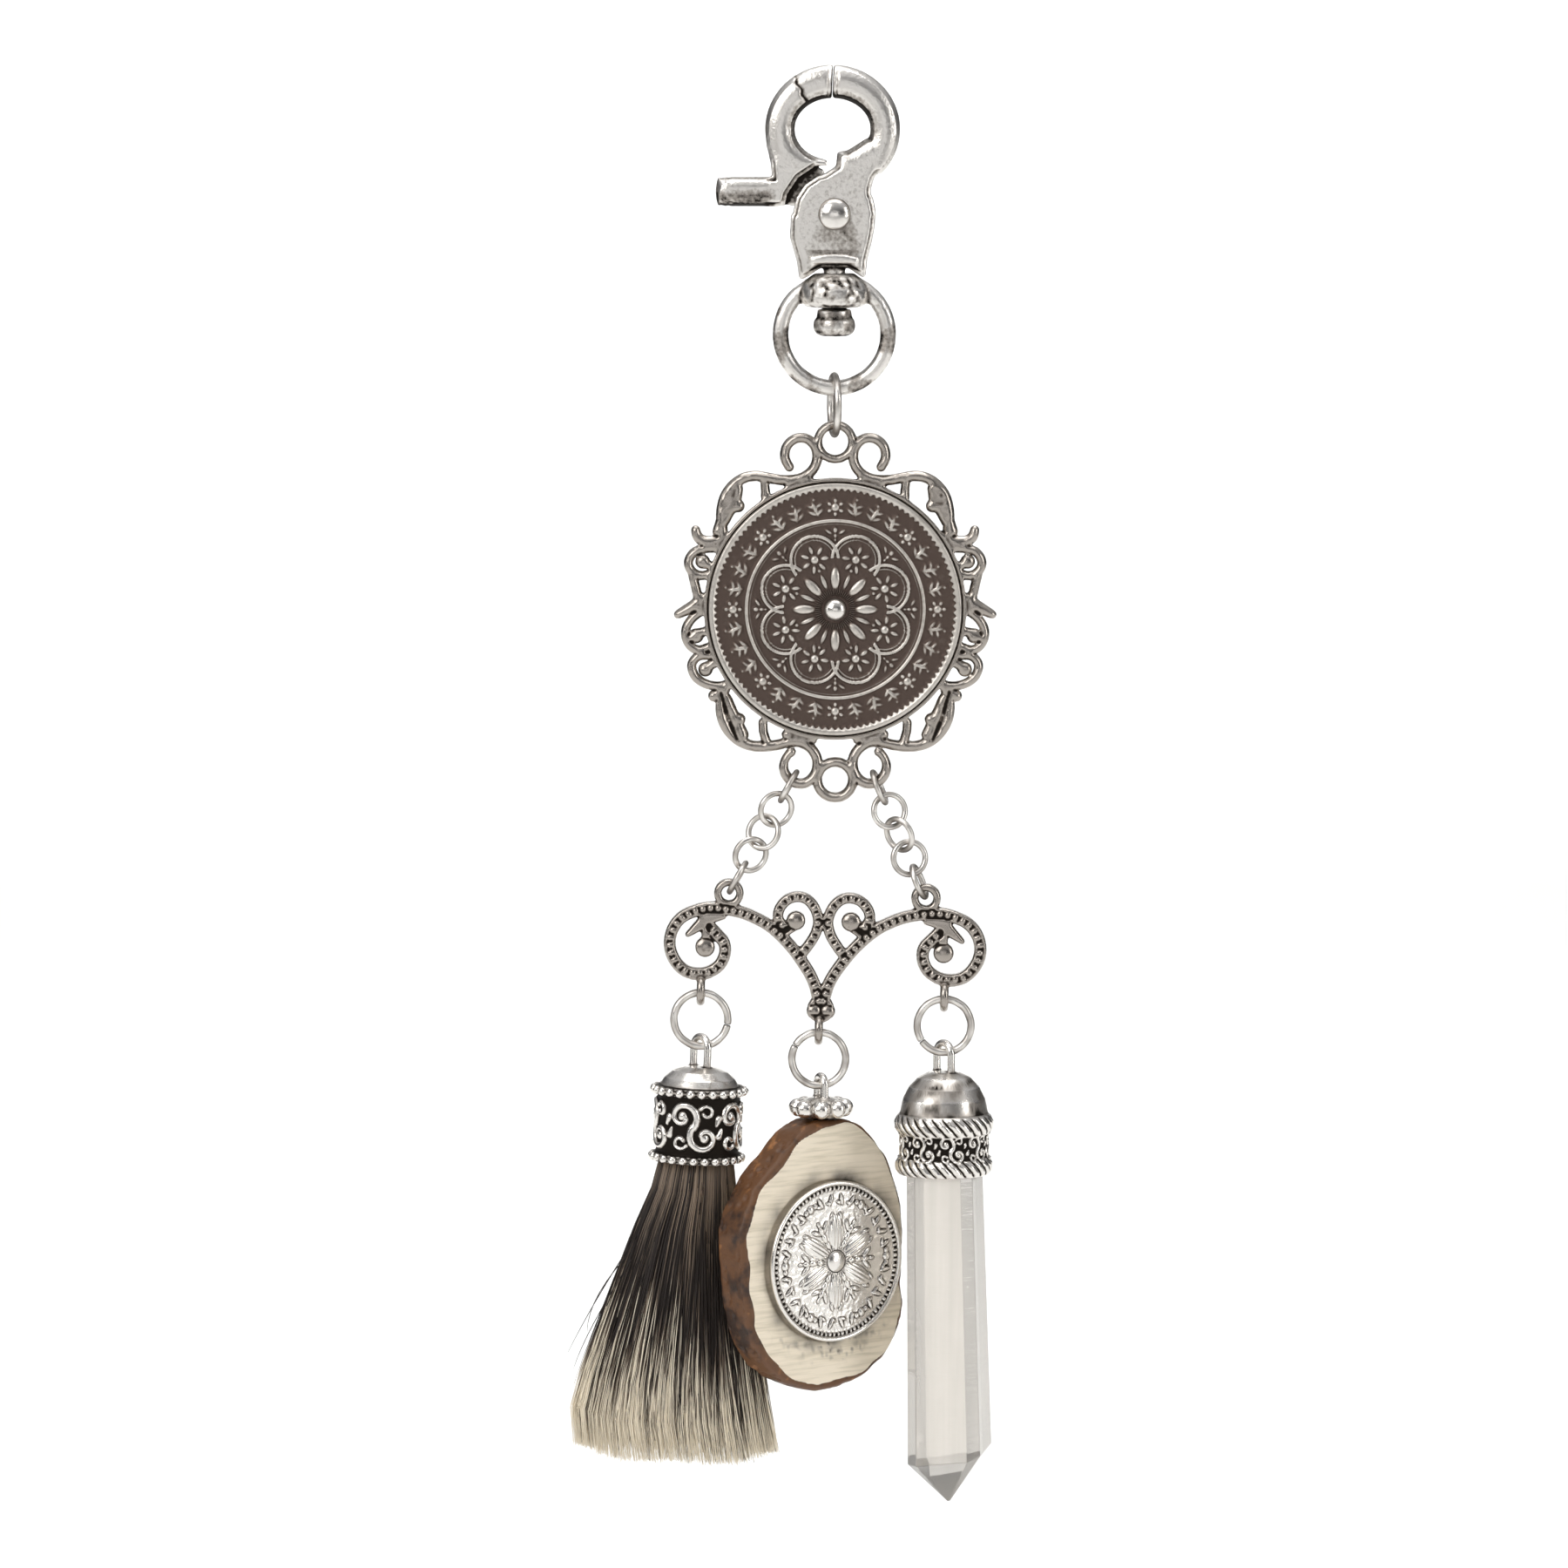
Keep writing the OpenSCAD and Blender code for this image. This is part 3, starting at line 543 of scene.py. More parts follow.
def round_plate(co, d, share, reach):
    """Rounds a bevelled plate like a tube, as far as share says, by the distance d from its outline."""
    cut = np.where(co[:, 2] > PARTING_FOOT, np.abs(past_parting(co[:, 0], co[:, 2])), 9)
    level = BEVEL_FOOT + (PLATE_HALF - BEVEL_FOOT) * steps(np.minimum(d, cut), 0.35, 0.55)
    tube = PLATE_HALF * (0.12 + 0.88 * domed(d, reach))
    plate = np.abs(co[:, 1]) < PLATE_HALF + 0.03
    co[:, 1] *= np.where(plate, share * tube / level + 1 - share, 1)


def hook_flank_shade(n):
    """Painted shade on the sides of hook and lever, most on those that look down."""
    return 0.3 * (1 - n[:, 1] ** 2) ** 1.3 * (1 - 0.6 * n[:, 2])


def past_notch(x, z):
    """How far a place on the lever's arm lies beyond the wavy notch above its tab."""
    return (x + 3.85) * 0.9 + (z - 1.97) * 0.434 + 0.12 * np.sin(5 * z)


def rivet(node, body, place, front, head, radius, tail, slot):
    """A rivet seen from its domed head, with a flatter tail behind."""
    dome = [(radius * math.sin(t), front + head * math.cos(t)) for t in np.radians(np.linspace(0, 90, 16))]
    foot = [(radius * 0.55, front - 0.02), (radius * 0.55, -front), (radius, -front),
            (radius * 0.85, -front - tail), (0, -front - tail)]
    piece = turned(f"{node}_domed", dome + foot, 0.3, 48)
    co = points(piece)
    mark(piece, "patina_and_shade", 0.1 + 0.5 * steps(np.hypot(co[:, 0], co[:, 1]), radius - 0.3, radius)
         + 0.08 * grainy(co, 0.7, 3))
    piece.data.transform(Matrix.Translation((place[0], 0, place[1]))
                         @ Matrix.Rotation(math.radians(90), 4, "X"))
    finished(piece, body, cast_silver(), node, slot=slot)


class CHARM_OT_hook(Operator):
    """Polished trigger hook with its speckled plate, its lever, the rivet and the swivel"""
    bl_idname = "charm.hook"
    bl_label = "Hook"

    def plate(self):
        body = casting("hook_body", "hook_body_polished")
        tree = outline_tree(body, -BEVEL_FOOT, round_the_eye, eye_rim())
        fuse(body, SKIN)
        co = points(body)
        x, y, z = co.T
        round_plate(co, distance_in(tree, co), steps(z, -8.8, -5.2) * (z > -15), PLATE_HALF)
        close_up(co, 1)
        # ledge over the swivel, rounded and curved
        ledge = (y < -1.65) * (z < -16) * (z > -18.2)
        co[:, 2] = np.where(ledge, -17.1 + (z + 17.2) * (1.15 - 0.1 * (x - RIVET[0]) ** 2)
                            - 0.03 * (x - RIVET[0]) ** 2, z)
        set_points(body, co)
        smooth(body, 5)
        co = points(body)
        x, y, z = co.T
        out = np.hypot(x - RIVET[0], z - RIVET[1])
        front = y < 0
        plate = steps(-z, 6.5, 10) * steps(-out, -5.5, -4.2) * front
        ring = np.exp(-((out - 1.95) / 0.22) ** 2) * front
        lines = (np.exp(-((z + 18.05) / 0.22) ** 2) + 0.5 * np.exp(-((z + 16.25) / 0.25) ** 2)) \
            * (np.abs(x - RIVET[0]) < 2.9) * front
        stud = steps(-z, 18.4, 19.5) * (0.3 + 0.3 * steps(grainy(co, 0.8, 4), -0.1, 0.7))
        n = normals(body)
        patina_and_shade(body, 0.1, 0.16, 20, plate * 0.07 + 0.65 * ring + 0.7 * lines + stud + hook_flank_shade(n)
                + eye_bore(x, z, n) + parting(x, z))
        thin(body, 0.55)
        finished(body, "hook", worn_silver(), "hook_body", slot="hook_silver")

    def lever(self):
        lever = casting("hook_lever", "hook_lever_polished")
        tree = outline_tree(lever, -BEVEL_FOOT, round_the_eye, eye_rim())
        # the tip that closes on the hook
        bpy.ops.object.select_all(action="DESELECT")
        bpy.ops.mesh.primitive_cube_add(size=1, location=(0, 0, 0))
        tip = bpy.context.active_object
        tip.data.transform(Matrix.Translation((-1.25, 0, -6.9)) @ Matrix.Rotation(math.radians(3), 4, "Y")
                           @ Matrix.Diagonal((1.7, 2.5, 0.5, 1)))
        fuse(join(lever, tip), SKIN)
        co = points(lever)
        x, y, z = co.T
        d = distance_in(tree, co)
        tab = steps(-x, 6.4, 7.4)
        across = TAB_HALF - np.abs(z - TAB_Z)
        round_plate(co, np.where((tab > 0.5) & (x > TAB_ROUND), across, d),
                    np.maximum(steps(z, -7.6, -5.0), tab), np.where(tab > 0.5, 1.0, 1.55))
        # squarer end of the thumb tab
        past = np.clip((TAB_ROUND - x) / TAB_HALF, 0, 0.97)
        co[:, 2] = TAB_Z + (z - TAB_Z) * np.clip((1 - past ** 8) ** 0.125 / np.sqrt(1 - past ** 2), 1, 2.2)
        close_up(co, -1)
        # beyond the notch the arm goes on as a thinner tube
        co[:, 1] *= 1 - 0.17 * steps(past_notch(x, z), -0.1, 0.12) * (z > -2)
        set_points(lever, co)
        smooth(lever, 3)
        co = points(lever)
        x, y, z = co.T
        out = np.hypot(x - RIVET[0], z - RIVET[1])
        notch = np.exp(-((past_notch(x, z) - 0.08) / 0.17) ** 2) * (z > -2) * (y < 0.6)
        mottle = 0.3 + 0.32 * steps(grainy(co, 0.55, 9), -0.2, 0.7)
        # painted shade with a mottle: the lower half of the thumb tab darker
        worn = steps(-x, 5.6, 6.6) * steps(-z, 9.7, 10.2) * mottle
        arc = np.exp(-((out - 5.4) / 0.25) ** 2) * (x > -5.5)
        tongue = (np.abs(y) < 0.75) * (out < 5.3) * 0.55
        n = normals(lever)
        on_tab = steps(-x, 5.6, 6.4)
        # painted shade: dark lines along the thumb tab's top and bottom edges and at its end
        edge = 0.6 * on_tab * (np.exp(-((np.abs(z - TAB_Z) - 1.42) / 0.16) ** 2)
                               + np.exp(-((x + 12.1) / 0.15) ** 2))
        # painted shade: also the sides, through hook_flank_shade, and the tab's lower half, through 0.2 *
        # on_tab
        patina_and_shade(lever, 0.1, 0.16, 20, worn + eye_bore(x, z, n) + 0.5 * arc + 0.85 * notch + tongue
                + hook_flank_shade(n) + edge + 0.2 * on_tab * steps(-z, 9.2, 10.4) + parting(x, z))
        thin(lever, 0.6)
        finished(lever, "lever", worn_silver(), "hook_lever", slot="hook_silver")

    def swivel(self):
        swivel = fuse(casting("swivel_ring", "swivel_hammered"), SKIN)
        co, n = points(swivel), normals(swivel)
        collar = steps(co[:, 2], -22.4, -22.0) * steps(-co[:, 2], 18.6, 19.2)
        dents = steps(0.55 - pitted(co, 1.2, 3), 0, 0.5)
        co -= n * (0.09 * dents * collar)[:, None]
        set_points(swivel, co)
        smooth(swivel, 2)
        co = points(swivel)
        mottle = steps(grainy(co, 0.75, 2), -0.1, 0.5)
        shade = collar * (0.15 + 0.6 * mottle * steps(3.3 - np.abs(co[:, 0] - RIVET[0]), 0, 1.2))
        band = 0.5 * steps(grainy(co, 1.9, 7), 0.0, 0.5) * (1 - collar)
        n = normals(swivel)
        # painted shade: the ring's sides darker, most those that look down
        flank_shade = 0.35 * (1 - n[:, 1] ** 2) * (1 - 0.5 * n[:, 2]) * (1 - collar)
        patina_and_shade(swivel, 0.15, 0.12, 20, shade + band + flank_shade)
        thin(swivel, 0.7)
        finished(swivel, "swivel", worn_silver(), "swivel_ring", slot="ring_silver")

    def execute(self, context):
        self.plate()
        self.lever()
        self.swivel()
        rivet("hook_rivet", "hook", RIVET, 1.65, 0.9, 1.72, 0.45, "hook_silver")
        return {"FINISHED"}


# Chains and jump rings

class CHARM_OT_links(Operator):
    """Round chain links, and jump rings with their closed cut"""
    bl_idname = "charm.links"
    bl_label = "Links and rings"

    @staticmethod
    def shade(ring):
        """Painted shade: bright in front, darker on the flanks and below, with a random mottle."""
        n = normals(ring)
        return 0.17 + 0.35 * (1 - n[:, 1] ** 2) * (1 - 0.5 * n[:, 2]) + 0.16 * grainy(points(ring), 1.1, 5)

    def link(self, node):
        """A smooth round link where the CAD node lies, with the same centre, turn and size."""
        co = points(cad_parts[node]) / MM
        middle = co.mean(0)
        across = np.linalg.svd(co - middle, full_matrices=False)[2]
        flat = (co - middle) @ across.T
        out = np.hypot(flat[:, 0], flat[:, 1])
        width = np.abs(flat[:, 2]).max()
        radius = (out.max() + out.min()) / 2
        path = [middle + radius * (math.cos(a) * across[0] + math.sin(a) * across[1])
                for a in np.linspace(0, 2 * math.pi, 64, endpoint=False)]
        ring = wire(f"{node}_round", path, width, closed=True, sides=6)
        mark(ring, "patina_and_shade", self.shade(ring))
        finished(ring, "pendant", wire_silver(), node, slot="link_silver")

    def execute(self, context):
        chains = [f"chain_{side}_{i}" for side in ("left", "right") for i in range(1, 6)]
        for node in chains + ["top_link"]:
            self.link(node)
        for node, body, cut in (("tassel_ring", "tassel", -11), ("antler_ring", "antler", 150),
                                ("crystal_ring", "crystal", 214)):
            middle = middle_of(node)
            turns = np.radians(np.linspace(cut + 1.1, cut + 358.9, 120))
            sway = 0.03 * np.sin(3 * turns + cut)
            path = [middle + [RING_R * math.cos(a), s * 0.5, RING_R * math.sin(a)]
                    for a, s in zip(turns, sway)]
            width = np.full(len(path), RING_WIRE)
            width[0] = width[-1] = 0.34
            ring = wire(f"{node}_wire", path, width, sides=7)
            co = points(ring)
            co += normals(ring) * (0.02 * grainy(co, 0.8, cut))[:, None]
            set_points(ring, co)
            turn = np.degrees(np.arctan2(co[:, 2] - middle[2], co[:, 0] - middle[0]))
            gap = np.exp(-((turn - cut + 180) % 360 - 180) ** 2 / 4)
            mark(ring, "patina_and_shade", self.shade(ring) + 0.6 * gap)
            finished(ring, body, wire_silver(), node, slot="ring_silver")
        return {"FINISHED"}


class CHARM_OT_frame(Operator):
    """Pierced scroll frame of the medallion, its rods rounded"""
    bl_idname = "charm.frame"
    bl_label = "Medallion frame"

    def execute(self, context):
        piece = casting("medallion_frame", "medallion_frame_cast")
        tree = outline_tree(piece, -0.75)
        fuse(piece, settings().silver.grain + 0.02)
        co, n = points(piece), normals(piece)
        d = distance_in(tree, co)
        x, z = co[:, 0] - MEDAL[0], co[:, 2] - MEDAL[1]
        out = np.hypot(x, z)
        rods = steps(out, BEZEL_R + 0.05, BEZEL_R + 0.3)
        co += n * [1, 0, 1] * (0.12 * rods)[:, None]
        swell = 0.42 + 0.7 * domed(d, 0.46)
        dents = 1 + 0.07 * grainy(co, 0.7, 6)
        co[:, 1] *= 1 + rods * (swell * dents - 1)
        set_points(piece, co)
        smooth(piece, 3)
        co = points(piece)
        rim = steps(out, 13.5, 13.9) * steps(-out, -14.4, -14.1)
        back = (out < 13.4) * 0.35
        n = normals(piece)
        # painted shade: the rods' sides darker, most those that look down and to the right
        flank_shade = (1 - n[:, 1] ** 2) * (0.42 - 0.28 * n[:, 2] + 0.06 * n[:, 0])
        under = steps(-out, -15.4, -14.3) * rods * 0.12
        patina_and_shade(piece, 0.22, 0.05, 22, back + under + flank_shade - 0.12 * rim + 0.14 * grainy(co, 1.3, 1))
        thin(piece, 0.5)
        finished(piece, "pendant", aged_silver(), "medallion_frame", slot="frame_silver")
        rivet("coin_rivet", "pendant", MEDAL, 1.15, 0.85, 1.18, 0.3, "coin_silver")
        return {"FINISHED"}


# Coins: a struck disc whose relief is a function of the place on its face

def ring_of(r, middle, half, edge=0.12):
    return steps(half + edge - np.abs(r - middle), 0, edge)


def blob(x, z, cx, cz, size, flat=1.0, turn=0.0):
    """A rounded boss, long by size and narrow by size times flat."""
    c, s = math.cos(turn), math.sin(turn)
    u, v = (x - cx) * c + (z - cz) * s, (z - cz) * c - (x - cx) * s
    return np.sqrt(np.clip(1 - (u / size) ** 2 - (v / (size * flat)) ** 2, 0, 1))


def coin_disc(name, radius, thickness, step, around):
    """A disc facing -Y whose front is at y = 0, with many rings of faces on its front."""
    obj = turned(name, [(0, 0), (radius - 0.1, 0), (radius, -0.1), (radius, -thickness), (0, -thickness)],
                 step, around, fine=1)
    obj.data.transform(Matrix.Rotation(math.radians(90), 4, "X"))
    return obj


def large_relief(x, z):
    """Rim, denticles, a border of sprigs, a ring of eight lobes with flowers, and leaves round the rivet."""
    r, a = np.hypot(x, z), np.arctan2(z, x)
    border, lobes, lobe = 10.95, 5.75, 2.55      # radii of the sprigs' ring, the lobes' ring and one lobe
    h = 0.42 * ring_of(r, 13.32, 0.28, 0.1)
    tooth = np.abs((a / (2 * math.pi) * 116) % 1 * 2 - 1)
    h = np.maximum(h, 0.3 * steps((r - 12.5) / 0.45 - tooth, 0, 0.3) * (r < 13.2))
    h = np.maximum(h, 0.34 * ring_of(r, 9.55, 0.14, 0.1))
    h = np.maximum(h, 0.24 * ring_of(r, 9.15, 0.04, 0.08))

    def boss(height, dr, turn, size, flat=1.0, twist=0.0, middle=(0, 0)):
        cx, cz = middle[0] + dr * math.cos(turn), middle[1] + dr * math.sin(turn)
        near = np.hypot(x - cx, z - cz) < size
        h[near] = np.maximum(h[near], height * blob(x[near], z[near], cx, cz, size, flat, turn + twist))

    for i in range(32):
        turn = math.radians(11.25 * i)
        if i % 4 == 0:
            boss(0.38, border, turn, 0.5)
            for k in range(6):
                boss(0.34, 0.72, turn + math.radians(60 * k), 0.3, 0.8,
                     middle=(border * math.cos(turn), border * math.sin(turn)))
        else:
            lean = 0.25 if i % 2 else -0.25
            boss(0.34, border, turn, 0.98, 0.26, lean)
            for dr, twist, size in ((10.55, 1.0, 0.62), (11.25, 1.15, 0.55)):
                boss(0.3, dr, turn + 0.035, size, 0.36, twist)
                boss(0.3, dr, turn - 0.035, size, 0.36, -twist)
            boss(0.3, 11.95, turn, 0.2)
    for i in range(8):
        turn = math.radians(45 * i + 22.5)
        middle = (lobes * math.cos(turn), lobes * math.sin(turn))
        away = np.hypot(x - middle[0], z - middle[1])
        h = np.maximum(h, 0.38 * ring_of(away, lobe, 0.13, 0.12) * (r > 5.45))
        h = np.maximum(h, 0.26 * ring_of(away, 2.12, 0.05, 0.09) * (r > 5.65))
        boss(0.42, 0, turn, 0.5, middle=middle)
        for k in range(7):
            spread = turn + math.radians(360 / 7 * k)
            boss(0.33, 1.08, spread, 0.56, 0.46, middle=middle)
        between = turn + math.radians(22.5)
        for dr, size in ((8.5, 0.36), (7.9, 0.26), (7.45, 0.2)):
            boss(0.32, dr, between, size, 0.8)
        for side in (-1, 1):
            boss(0.3, 8.35, between + side * 0.085, 0.5, 0.38, side * 0.9)
        boss(0.42, 3.35, between, 1.3, 0.42)
        boss(0.34, 3.2, turn, 0.95, 0.3)
        boss(0.3, 4.45, turn, 0.24)
    rays = steps(np.cos(a * 56), -0.1, 0.7) * (r > 1.5) * (r < 2.6)
    h = np.maximum(h, 0.2 * rays * steps(-r, -2.6, -2.0))
    return h


def small_relief(x, z):
    """Rim, fine teeth, a border of buds and leaves, and a ribbed six-petalled flower."""
    r, a = np.hypot(x, z), np.arctan2(z, x)
    border = 6.75                                # radius of the ring of buds
    h = 0.3 * ring_of(r, 8.5, 0.2, 0.1)
    h = np.maximum(h, 0.24 * ring_of(r, 7.95, 0.14, 0.1) * steps(np.cos(a * 90), -0.3, 0.5))

    def boss(height, dr, turn, size, flat=1.0, twist=0.0):
        cx, cz = dr * math.cos(turn), dr * math.sin(turn)
        near = np.hypot(x - cx, z - cz) < size
        h[near] = np.maximum(h[near], height * blob(x[near], z[near], cx, cz, size, flat, turn + twist))

    for i in range(30):
        turn = math.radians(12 * i)
        if i % 5 == 0:
            boss(0.28, border, turn, 0.45)
            for side in (-1, 1):
                boss(0.24, border, turn + side * 0.1, 0.3)
        else:
            boss(0.26, border, turn, 0.72, 0.3, 0.35 if i % 2 else -0.35)
            boss(0.22, 6.4, turn + 0.05, 0.4, 0.4, 1.2)
    for i in range(6):
        turn = math.radians(60 * i + 30)
        px, pz = 3.2 * math.cos(turn), 3.2 * math.sin(turn)
        petal = blob(x, z, px, pz, 1.95, 0.5, turn)
        ribs = 0.5 + 0.5 * np.cos((x * math.sin(turn) - z * math.cos(turn)) * 15)
        h = np.maximum(h, 0.34 * petal * (0.7 + 0.3 * ribs))
        side = turn + math.radians(30)
        for dr, size in ((2.1, 0.5), (3.0, 0.55), (3.9, 0.5), (4.7, 0.34)):
            boss(0.28, dr, side, size, 0.6)
        for lean in (-1, 1):
            boss(0.26, 4.1, side + lean * 0.16, 0.7, 0.34, lean * 0.6)
            boss(0.24, 4.95, turn + lean * 0.12, 0.5, 0.36, -lean * 0.5)
    rays = steps(np.cos(a * 36), 0, 0.7) * (r > 1.25) * (r < 1.75)
    h = np.maximum(h, 0.2 * rays)
    h = np.maximum(h, 0.36 * blob(x, z, 0, 0, 1.15))
    return h


def struck(obj, relief, ground, worn):
    """Strikes a relief on a coin's front. Its patina is ground on the field and less on high places."""
    co = points(obj)
    face = co[:, 1] < 0.02
    x, z = co[:, 0], co[:, 2]
    h = relief(x, z)
    rough = grainy(co, 0.35, 8) * 0.02
    co[:, 1] -= np.where(face, h + rough * (h < 0.05), 0)
    set_points(obj, co)
    smooth(obj, 1, 0.4)
    value = ground - 0.7 * steps(h, 0.08, 0.34) + worn * grainy(co, 2.2, 3)
    foot = 1.3 * np.clip((relaxed(h, edges(obj), 6)[:, 0] - h) / 0.08 - 0.1, 0, 0.8)
    mark(obj, "patina_and_shade", np.where(face, value + foot, 0.4))


class CHARM_OT_coin(Operator):
    """Large coin with a generic border of leaves and a lobed rosette"""
    bl_idname = "charm.coin"
    bl_label = "Medallion coin"

    def execute(self, context):
        coin = coin_disc("medallion_coin_struck", COIN_R, COIN_T, 0.12, 580)
        struck(coin, large_relief, 0.84, 0.08)
        thin(coin, 0.7)
        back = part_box("medallion_coin")[1][1] / MM
        coin.data.transform(Matrix.Translation((MEDAL[0], back - COIN_T, MEDAL[1])))
        finished(coin, "pendant", coin_silver(), "medallion_coin", slot="coin_silver")
        return {"FINISHED"}


# Bar

# Middle lines of the bar's right half: the long scroll from the foot, and the inner curl
BAR_SCROLL = ((0.1, -6.5), (0.45, -5.4), (0.72, -4.4), (1.3, -3.2), (2.2, -1.85), (3.2, -0.55), (4.5, 0.8),
              (5.85, 1.9), (7.25, 2.65), (8.65, 3.2), (10, 3.5), (11.3, 3.68), (12.7, 3.66), (14, 3.32),
              (15.3, 2.7), (16.2, 1.7), (16.67, 0.4), (16.63, -0.95), (16, -2.25), (14.95, -3.2),
              (13.6, -3.5), (12.3, -3.25), (11.2, -2.5), (10.65, -1.3), (10.75, -0.1), (11.5, 0.8),
              (12.3, 1.6))
BAR_CURL = ((2.2, -1), (1.35, 0.15), (0.74, 1.27), (0.52, 2.6), (0.96, 3.96), (1.8, 4.87), (2.85, 5.13),
            (3.93, 4.8), (4.7, 3.95), (4.95, 2.95), (4.6, 2.15), (4, 1.6))
BAR_BALLS = ((12.83, -0.57, 1.08), (2.96, 2.55, 1.03), (0.75, -7.2, 0.8))
BAR_STRETCH = 0.017         # the right half is that much longer, the left that much shorter
BAR_EYES = ((-12.95, -5.25), (-0.15, -9.2), (13.25, -5.25))
BAR_PLACE = (-0.85, -90.8)
BAR_TILT = math.radians(1.5)


def evenly(path, pitch):
    """Places along a path at that pitch."""
    path = np.array(path, float)
    run = np.concatenate([[0], np.cumsum(np.hypot(*np.diff(path, axis=0).T))])
    at = np.arange(pitch / 2, run[-1], pitch)
    return np.stack([np.interp(at, run, path[:, 0]), np.interp(at, run, path[:, 1])], 1)


class CHARM_OT_bar(Operator):
    """Scrolled bar: bands with a rounded rim on both sides and a row of small beads in the groove between"""
    bl_idname = "charm.bar"
    bl_label = "Scrolled bar"

    def execute(self, context):
        piece = casting("scroll_bar", "scroll_bar_cast")
        tilt = Matrix.Rotation(BAR_TILT, 4, "Y")
        flat = tilt.inverted() @ Matrix.Translation((-BAR_PLACE[0], 0, -BAR_PLACE[1]))
        piece.data.transform(flat)
        tree = outline_tree(piece, -BAR_T / 2)
        halves = [np.array([side * (1 + side * BAR_STRETCH), 1]) for side in (-1, 1)]
        beads, line = (tree_of([tuple(spot * half) for path in (BAR_SCROLL, BAR_CURL) for half in halves
                                for spot in evenly(path, pitch)]) for pitch in (0.84, 0.1))
        fuse(piece, settings().silver.grain)
        co = points(piece)
        d, bead = distance_in(tree, co), distance_in(beads, co)
        x, y, z = co.T
        plate = np.abs(y) <= BAR_T / 2 + 0.02
        for cx, cz in BAR_EYES:
            plate &= ~((np.abs(x - cx) < 1.2) & (z < cz + 1.75) & (z > cz - 2))
        rim = 0.5 + 0.55 * domed(d, 0.3)
        groove = steps(d, 0.26, 0.42) * steps(0.6 - distance_in(line, co), 0, 0.15)
        knob = np.sqrt(np.clip(1 - (bead / 0.37) ** 2, 0, 1))
        inside = rim - groove * 0.34 + groove * 0.46 * knob
        ball = np.zeros(len(co))
        on_ball = np.zeros(len(co), bool)
        for cx, cz, r in BAR_BALLS:
            for half in halves:
                away = np.hypot(x - half[0] * cx, z - cz)
                dome = 0.42 + 0.8 * np.sqrt(np.clip(1 - (away / (r + 0.05)) ** 2, 0, 1))
                ball = np.where(away < r, dome, ball)
                on_ball |= away < r
        swell = np.where(on_ball, ball, inside)
        co[:, 1] = np.where(plate, y * swell, y)
        set_points(piece, co)
        smooth(piece, 1)
        n = normals(piece)
        between = groove * ~on_ball * plate * (1 - steps(knob, 0.1, 0.6))
        # painted shade: the sides darker, most those that look down
        flank_shade = (1 - n[:, 1] ** 2) * (0.4 - 0.25 * n[:, 2])
        mottle = 0.1 + 0.5 * steps(grainy(co, 0.5, 4), 0, 0.6)
        leaf = plate * steps(distance_in(line, co), 0.6, 0.8) * mottle
        patina_and_shade(piece, 0.16, 0.06, 16, leaf + 0.4 * between - 0.2 * groove * (knob > 0.5) + flank_shade
                + 0.1 * grainy(co, 1.0, 2))
        thin(piece, 0.62)
        piece.data.transform(flat.inverted())
        finished(piece, "pendant", aged_silver(), "scroll_bar", slot="bar_silver")
        return {"FINISHED"}


# Caps of the tassel and the crystal

def scroll_paths(size):
    """One S scroll with its drops, in the unrolled plane of a belt, as points with their half width."""
    half = []
    for i in range(40):
        t = i / 39
        r = 0.4 + 0.98 * t
        a = math.radians(330 - 372 * t)
        half.append((-1 + r * math.cos(a), 0.9 + r * math.sin(a), 0.2 + 0.14 * t))
    s = half + [(-x, -y, w) for x, y, w in reversed(half)]
    curls = []
    for i in range(24):
        t = i / 23
        a = math.radians(150 - 300 * t)
        r = 0.62 - 0.3 * t
        curls.append((1.15 + r * math.cos(a), 1.35 + r * math.sin(a), 0.18))
    spots = s + curls + [(-x, -y, w) for x, y, w in curls]
    spots += [(-1.0, 0.95, 0.42), (1.0, -0.95, 0.42)]
    spots += [(2.05 + 0.06 * k, 0.15 + 0.16 * k, 0.12 + 0.05 * k) for k in range(5)]
    spots += [(-2.05 - 0.06 * k, -0.15 - 0.16 * k, 0.12 + 0.05 * k) for k in range(5)]
    return [(size * x, size * y, size * w) for x, y, w in spots]


def belt_height(angle, z, radius, count, middle, size):
    """Height of the scroll relief, 0 to 1, on a belt round a cap."""
    spots = scroll_paths(size)
    pitch = 2 * math.pi * radius / count
    u = (angle / (2 * math.pi) * count + 0.5) % 1 * pitch - pitch / 2
    v = z - middle
    h = np.zeros(len(u))
    for sx, sz, w in spots:
        for shift in (-pitch, 0, pitch):
            far = (u - sx - shift) ** 2 + (v - sz) ** 2
            near = far < w * w
            h[near] = np.maximum(h[near], np.sqrt(1 - far[near] / (w * w)))
    return h


def polar(co):
    """Angle, distance and height of points about the Z axis."""
    return np.arctan2(co[:, 1], co[:, 0]), np.hypot(co[:, 0], co[:, 1]), co[:, 2]


def swell_out(cap, co, r, grow):
    """Pushes a turned wall outwards by grow."""
    co[:, :2] *= (1 + grow / np.maximum(r, 1))[:, None]
    set_points(cap, co)


def balls(places, radius, segments, rings):
    """Cast beads at these places."""
    made = []
    for place in places:
        bpy.ops.mesh.primitive_uv_sphere_add(segments=segments, ring_count=rings, radius=radius,
                                             location=place)
        made.append(bpy.context.active_object)
    for ball in made:
        take(ball)
        bpy.ops.object.transform_apply(location=True)
    return made


